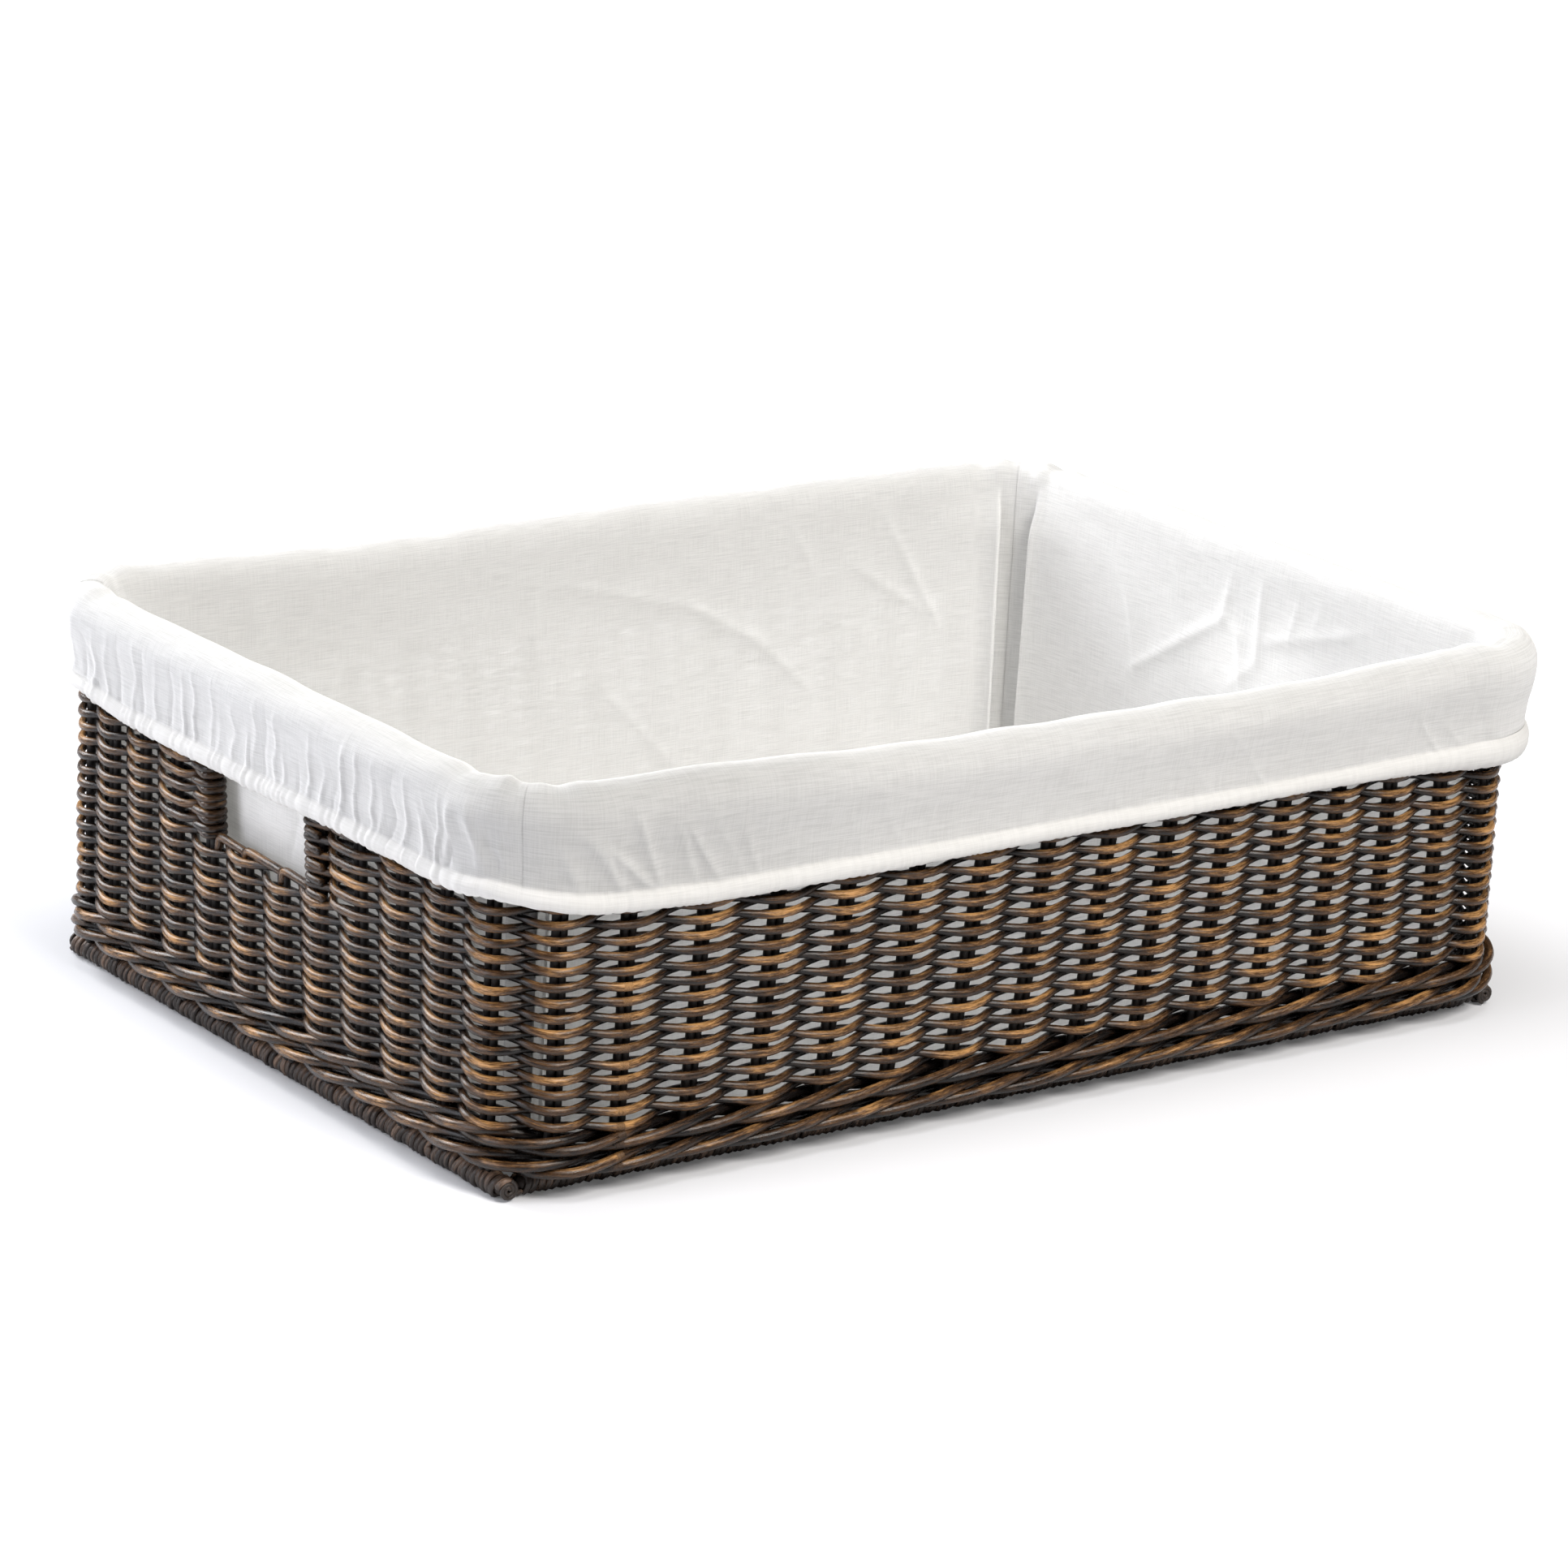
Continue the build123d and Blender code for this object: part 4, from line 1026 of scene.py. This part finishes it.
def lay_floor():
    """The cloth that covers the basket's floor."""
    rng = np.random.default_rng(64)
    rings, count = 46, 240
    edge, _ = walk_line(np.arange(count) / count * LAP, np.full(count, FLOOR_SEAM))
    share = (np.arange(1, rings + 1) / rings) ** 0.9
    place = (edge[None] * share[:, None, None]).reshape(-1, 2)
    lift = 0.0005 + 0.0005 * wander(rng, place[:, 0] * 1.6 + place[:, 1] * 0.9, 4, 1, 4)
    lift = np.clip(lift, 0, 0.002) * np.repeat(np.minimum(1, (1 - share) * 8), count)
    points = np.concatenate([[[0, 0, LINER_FLOOR + 0.0004]], np.column_stack([place, LINER_FLOOR + lift])])
    faces = [[0, 1 + i, 1 + (i + 1) % count] for i in range(count)]
    for ring in range(rings - 1):
        a, b = 1 + ring * count, 1 + (ring + 1) * count
        faces += [[a + i, b + i, b + (i + 1) % count, a + (i + 1) % count] for i in range(count)]
    mesh = bpy.data.meshes.new("muslin_floor")
    mesh.from_pydata(points.tolist(), [], faces)
    keep_numbers(mesh, "flat", points + np.array([0, 0, 3.0]))
    piece = new_piece("muslin_floor", mesh, "liner", ["liner_floor"], MUSLIN)
    thicken(piece)
    return piece


print(lay_floor().name)

# %% [markdown]
# ## What hardly shows
# The elastic runs all the way round inside the hem. It is made anew, so that it follows the hem's ups and
# downs. Next to nothing of it shows, so its finish is a quiet one.

# %% Mix a quiet finish
def plain_finish(name, dark, light, scale, rough):
    """A quiet two-tone finish that needs no strand numbers."""
    material = bpy.data.materials.new(name)
    material.use_nodes = True
    tree = material.node_tree
    surface = tree.nodes["Principled BSDF"]
    place = add_node(tree, "ShaderNodeTexCoord").outputs["Object"]
    grain = stretched_noise(tree, place, (scale, scale, scale), Scale=1.0, Detail=4.0, Roughness=0.6)
    tree.links.new(blend_node(tree, grain, dark, light), surface.inputs["Base Color"])
    bump = add_node(tree, "ShaderNodeBump", Strength=0.25, Distance=0.0005)
    tree.links.new(grain, bump.inputs["Height"])
    tree.links.new(bump.outputs[0], surface.inputs["Normal"])
    surface.inputs["Roughness"].default_value = rough
    return material


TAPE = plain_finish("elastic tape", (0.70, 0.69, 0.67), (0.82, 0.81, 0.79), 900.0, 0.8)
print("finish:", TAPE.name)

# %% Thread the elastic
TAPE_OUT, TAPE_LEVEL, TAPE_THICK, TAPE_TALL = 0.0109, 0.1466, 0.0005, 0.0034


def thread_elastic():
    """The loop of flat elastic in the hem."""
    s = np.linspace(0, LAP, 421)[:-1]
    flat, away = walk_line(s, np.full(len(s), TAPE_OUT))
    line = np.column_stack([flat, settle(s, hitch_up(s, np.full(len(s), TAPE_LEVEL)))])
    tape = Bundle()
    tape.add(line, np.column_stack([away, 0 * s]), TAPE_THICK, TAPE_TALL, 0.5, 0.5, closed=True)
    return tape.make("elastic_tape", "liner", ["hem_elastic"], TAPE)


print(thread_elastic().name)

# %% [markdown]
# ## The studio floor
# The photograph is a bright studio picture: a white floor without a horizon. A floor that is lit to pure
# white would also throw that light up into the cane. So the floor is only pale, and the camera alone sees
# an extra glow on it, which grows with the distance from the basket and leaves the soft shadow near it.

# %% Lay the studio floor
STUDIO_REACH, STUDIO_LEVEL = 9, -0.0002


def studio_floor():
    """A wide pale floor that stays white to the camera and keeps the soft shadow."""
    mesh = bpy.data.meshes.new("studio_floor")
    signs = ((-1, -1), (1, -1), (1, 1), (-1, 1))
    corners = [(x * STUDIO_REACH, y * STUDIO_REACH, STUDIO_LEVEL) for x, y in signs]
    mesh.from_pydata(corners, [], [(0, 1, 2, 3)])
    material = bpy.data.materials.new("white studio floor")
    material.use_nodes = True
    tree = material.node_tree
    surface = tree.nodes["Principled BSDF"]
    noise = add_node(tree, "ShaderNodeTexNoise", Scale=3.0, Detail=2.0).outputs["Fac"]
    pale = blend_node(tree, noise, (0.74, 0.745, 0.77), (0.76, 0.765, 0.79))
    tree.links.new(pale, surface.inputs["Base Color"])
    surface.inputs["Roughness"].default_value = 0.7
    surface.inputs["Specular IOR Level"].default_value = 0.15
    place = add_node(tree, "ShaderNodeNewGeometry").outputs["Position"]
    away = add_node(tree, "ShaderNodeVectorMath", operation="LENGTH")
    tree.links.new(place, away.inputs[0])
    seen = add_node(tree, "ShaderNodeLightPath").outputs["Is Camera Ray"]
    near = number_node(tree, "MULTIPLY", ramp_node(tree, away.outputs["Value"], 0.45, 1.6), 0.55)
    far = number_node(tree, "MULTIPLY", ramp_node(tree, away.outputs["Value"], 1.6, 4.5), 0.6)
    lift = number_node(tree, "ADD", number_node(tree, "ADD", near, far), 0.08)
    glow = add_node(tree, "ShaderNodeEmission")
    tree.links.new(number_node(tree, "MULTIPLY", lift, seen), glow.inputs["Strength"])
    both = add_node(tree, "ShaderNodeAddShader")
    tree.links.new(surface.outputs[0], both.inputs[0])
    tree.links.new(glow.outputs[0], both.inputs[1])
    tree.links.new(both.outputs[0], tree.nodes["Material Output"].inputs["Surface"])
    mesh.materials.append(material)
    floor = bpy.data.objects.new("studio_floor", mesh)
    bpy.context.scene.collection.objects.link(floor)
    return floor


print(studio_floor().name)

# %% [markdown]
# ## The lights
# Broad soft light comes from the left, from behind, from above and from the front. One picture was made
# for each lamp alone, to find strengths whose sum comes close to the photograph, and the last steps were
# made one by one. The world around is dim, so that the lamps make the shadows, and white where it is seen.

# %% Set the lights
BASKET_MIDDLE = (0, 0, 0.1)


def soft_light(name, place, size, watts, colour):
    """A square soft box that looks at the middle of the basket."""
    lamp = bpy.data.lights.new(name, "AREA")
    lamp.shape, lamp.size, lamp.energy, lamp.color = "SQUARE", size, watts, colour
    holder = bpy.data.objects.new(name, lamp)
    bpy.context.scene.collection.objects.link(holder)
    holder.location = place
    holder.rotation_euler = (Vector(BASKET_MIDDLE) - Vector(place)).to_track_quat("-Z", "Y").to_euler()
    return holder


soft_light("back soft box", (-0.9, 2.2, 1.6), 1.5, 86, (0.97, 0.98, 1.0))
soft_light("left soft box", (-4.0, 0.5, 1.7), 2.4, 88, (0.91, 0.92, 1.0))
soft_light("top soft box", (-0.2, -0.4, 2.4), 1.4, 27, (1.0, 0.99, 0.97))
soft_light("front soft box", (0.25, -2.8, 2.9), 1.6, 147, (1.0, 0.97, 0.93))
world = bpy.data.worlds.new("studio")
bpy.context.scene.world = world
world.use_nodes = True
tree = world.node_tree
sky = tree.nodes["Background"]
path = add_node(tree, "ShaderNodeLightPath")
seen = number_node(tree, "MAXIMUM", path.outputs["Is Camera Ray"], path.outputs["Is Transmission Ray"])
sky.inputs["Color"].default_value = (1.0, 1.0, 1.0, 1.0)
strength = number_node(tree, "ADD", number_node(tree, "MULTIPLY", seen, 0.9), 0.1)
tree.links.new(strength, sky.inputs["Strength"])
bpy.context.scene.view_settings.view_transform = "Standard"
print("four soft boxes and a white studio")

# %% [markdown]
# ## The camera
# The camera was found by fitting the basket's straight edges: a long lens, a little above the rim, with a
# slight tilt. A constraint could aim it, but with its three directions worked out, the tilt and the small
# shifts are plain sums.

# %% Place the camera
SENSOR, PHOTO_PIXELS = 36.0, 1932


def place_camera(azimuth, elevation, roll, distance, shift_right, shift_up, focal_pixels):
    """A camera that looks at the middle of the basket from the photograph's side."""
    a, e, r = (math.radians(v) for v in (azimuth, elevation, roll))
    back = np.array([math.sin(a) * math.cos(e), -math.cos(a) * math.cos(e), math.sin(e)])
    right = np.cross(-back, [0, 0, 1.0])
    right /= np.linalg.norm(right)
    up = np.cross(right, -back)
    right, up = math.cos(r) * right + math.sin(r) * up, -math.sin(r) * right + math.cos(r) * up
    place = back * distance + right * shift_right + up * shift_up + np.array(BASKET_MIDDLE)
    data = bpy.data.cameras.new("photograph")
    data.sensor_width = SENSOR
    data.lens = SENSOR * focal_pixels / PHOTO_PIXELS
    holder = bpy.data.objects.new("photograph", data)
    bpy.context.scene.collection.objects.link(holder)
    turned = Matrix(np.column_stack([right, up, back]).tolist()).to_4x4()
    holder.matrix_world = Matrix.Translation(place.tolist()) @ turned
    bpy.context.scene.camera = holder
    return holder


camera = place_camera(azimuth=-36.25, elevation=16.62, roll=2.84, distance=2.962, shift_right=-0.0045,
                      shift_up=0.0056, focal_pixels=7050)
print("lens %.1f mm" % camera.data.lens)
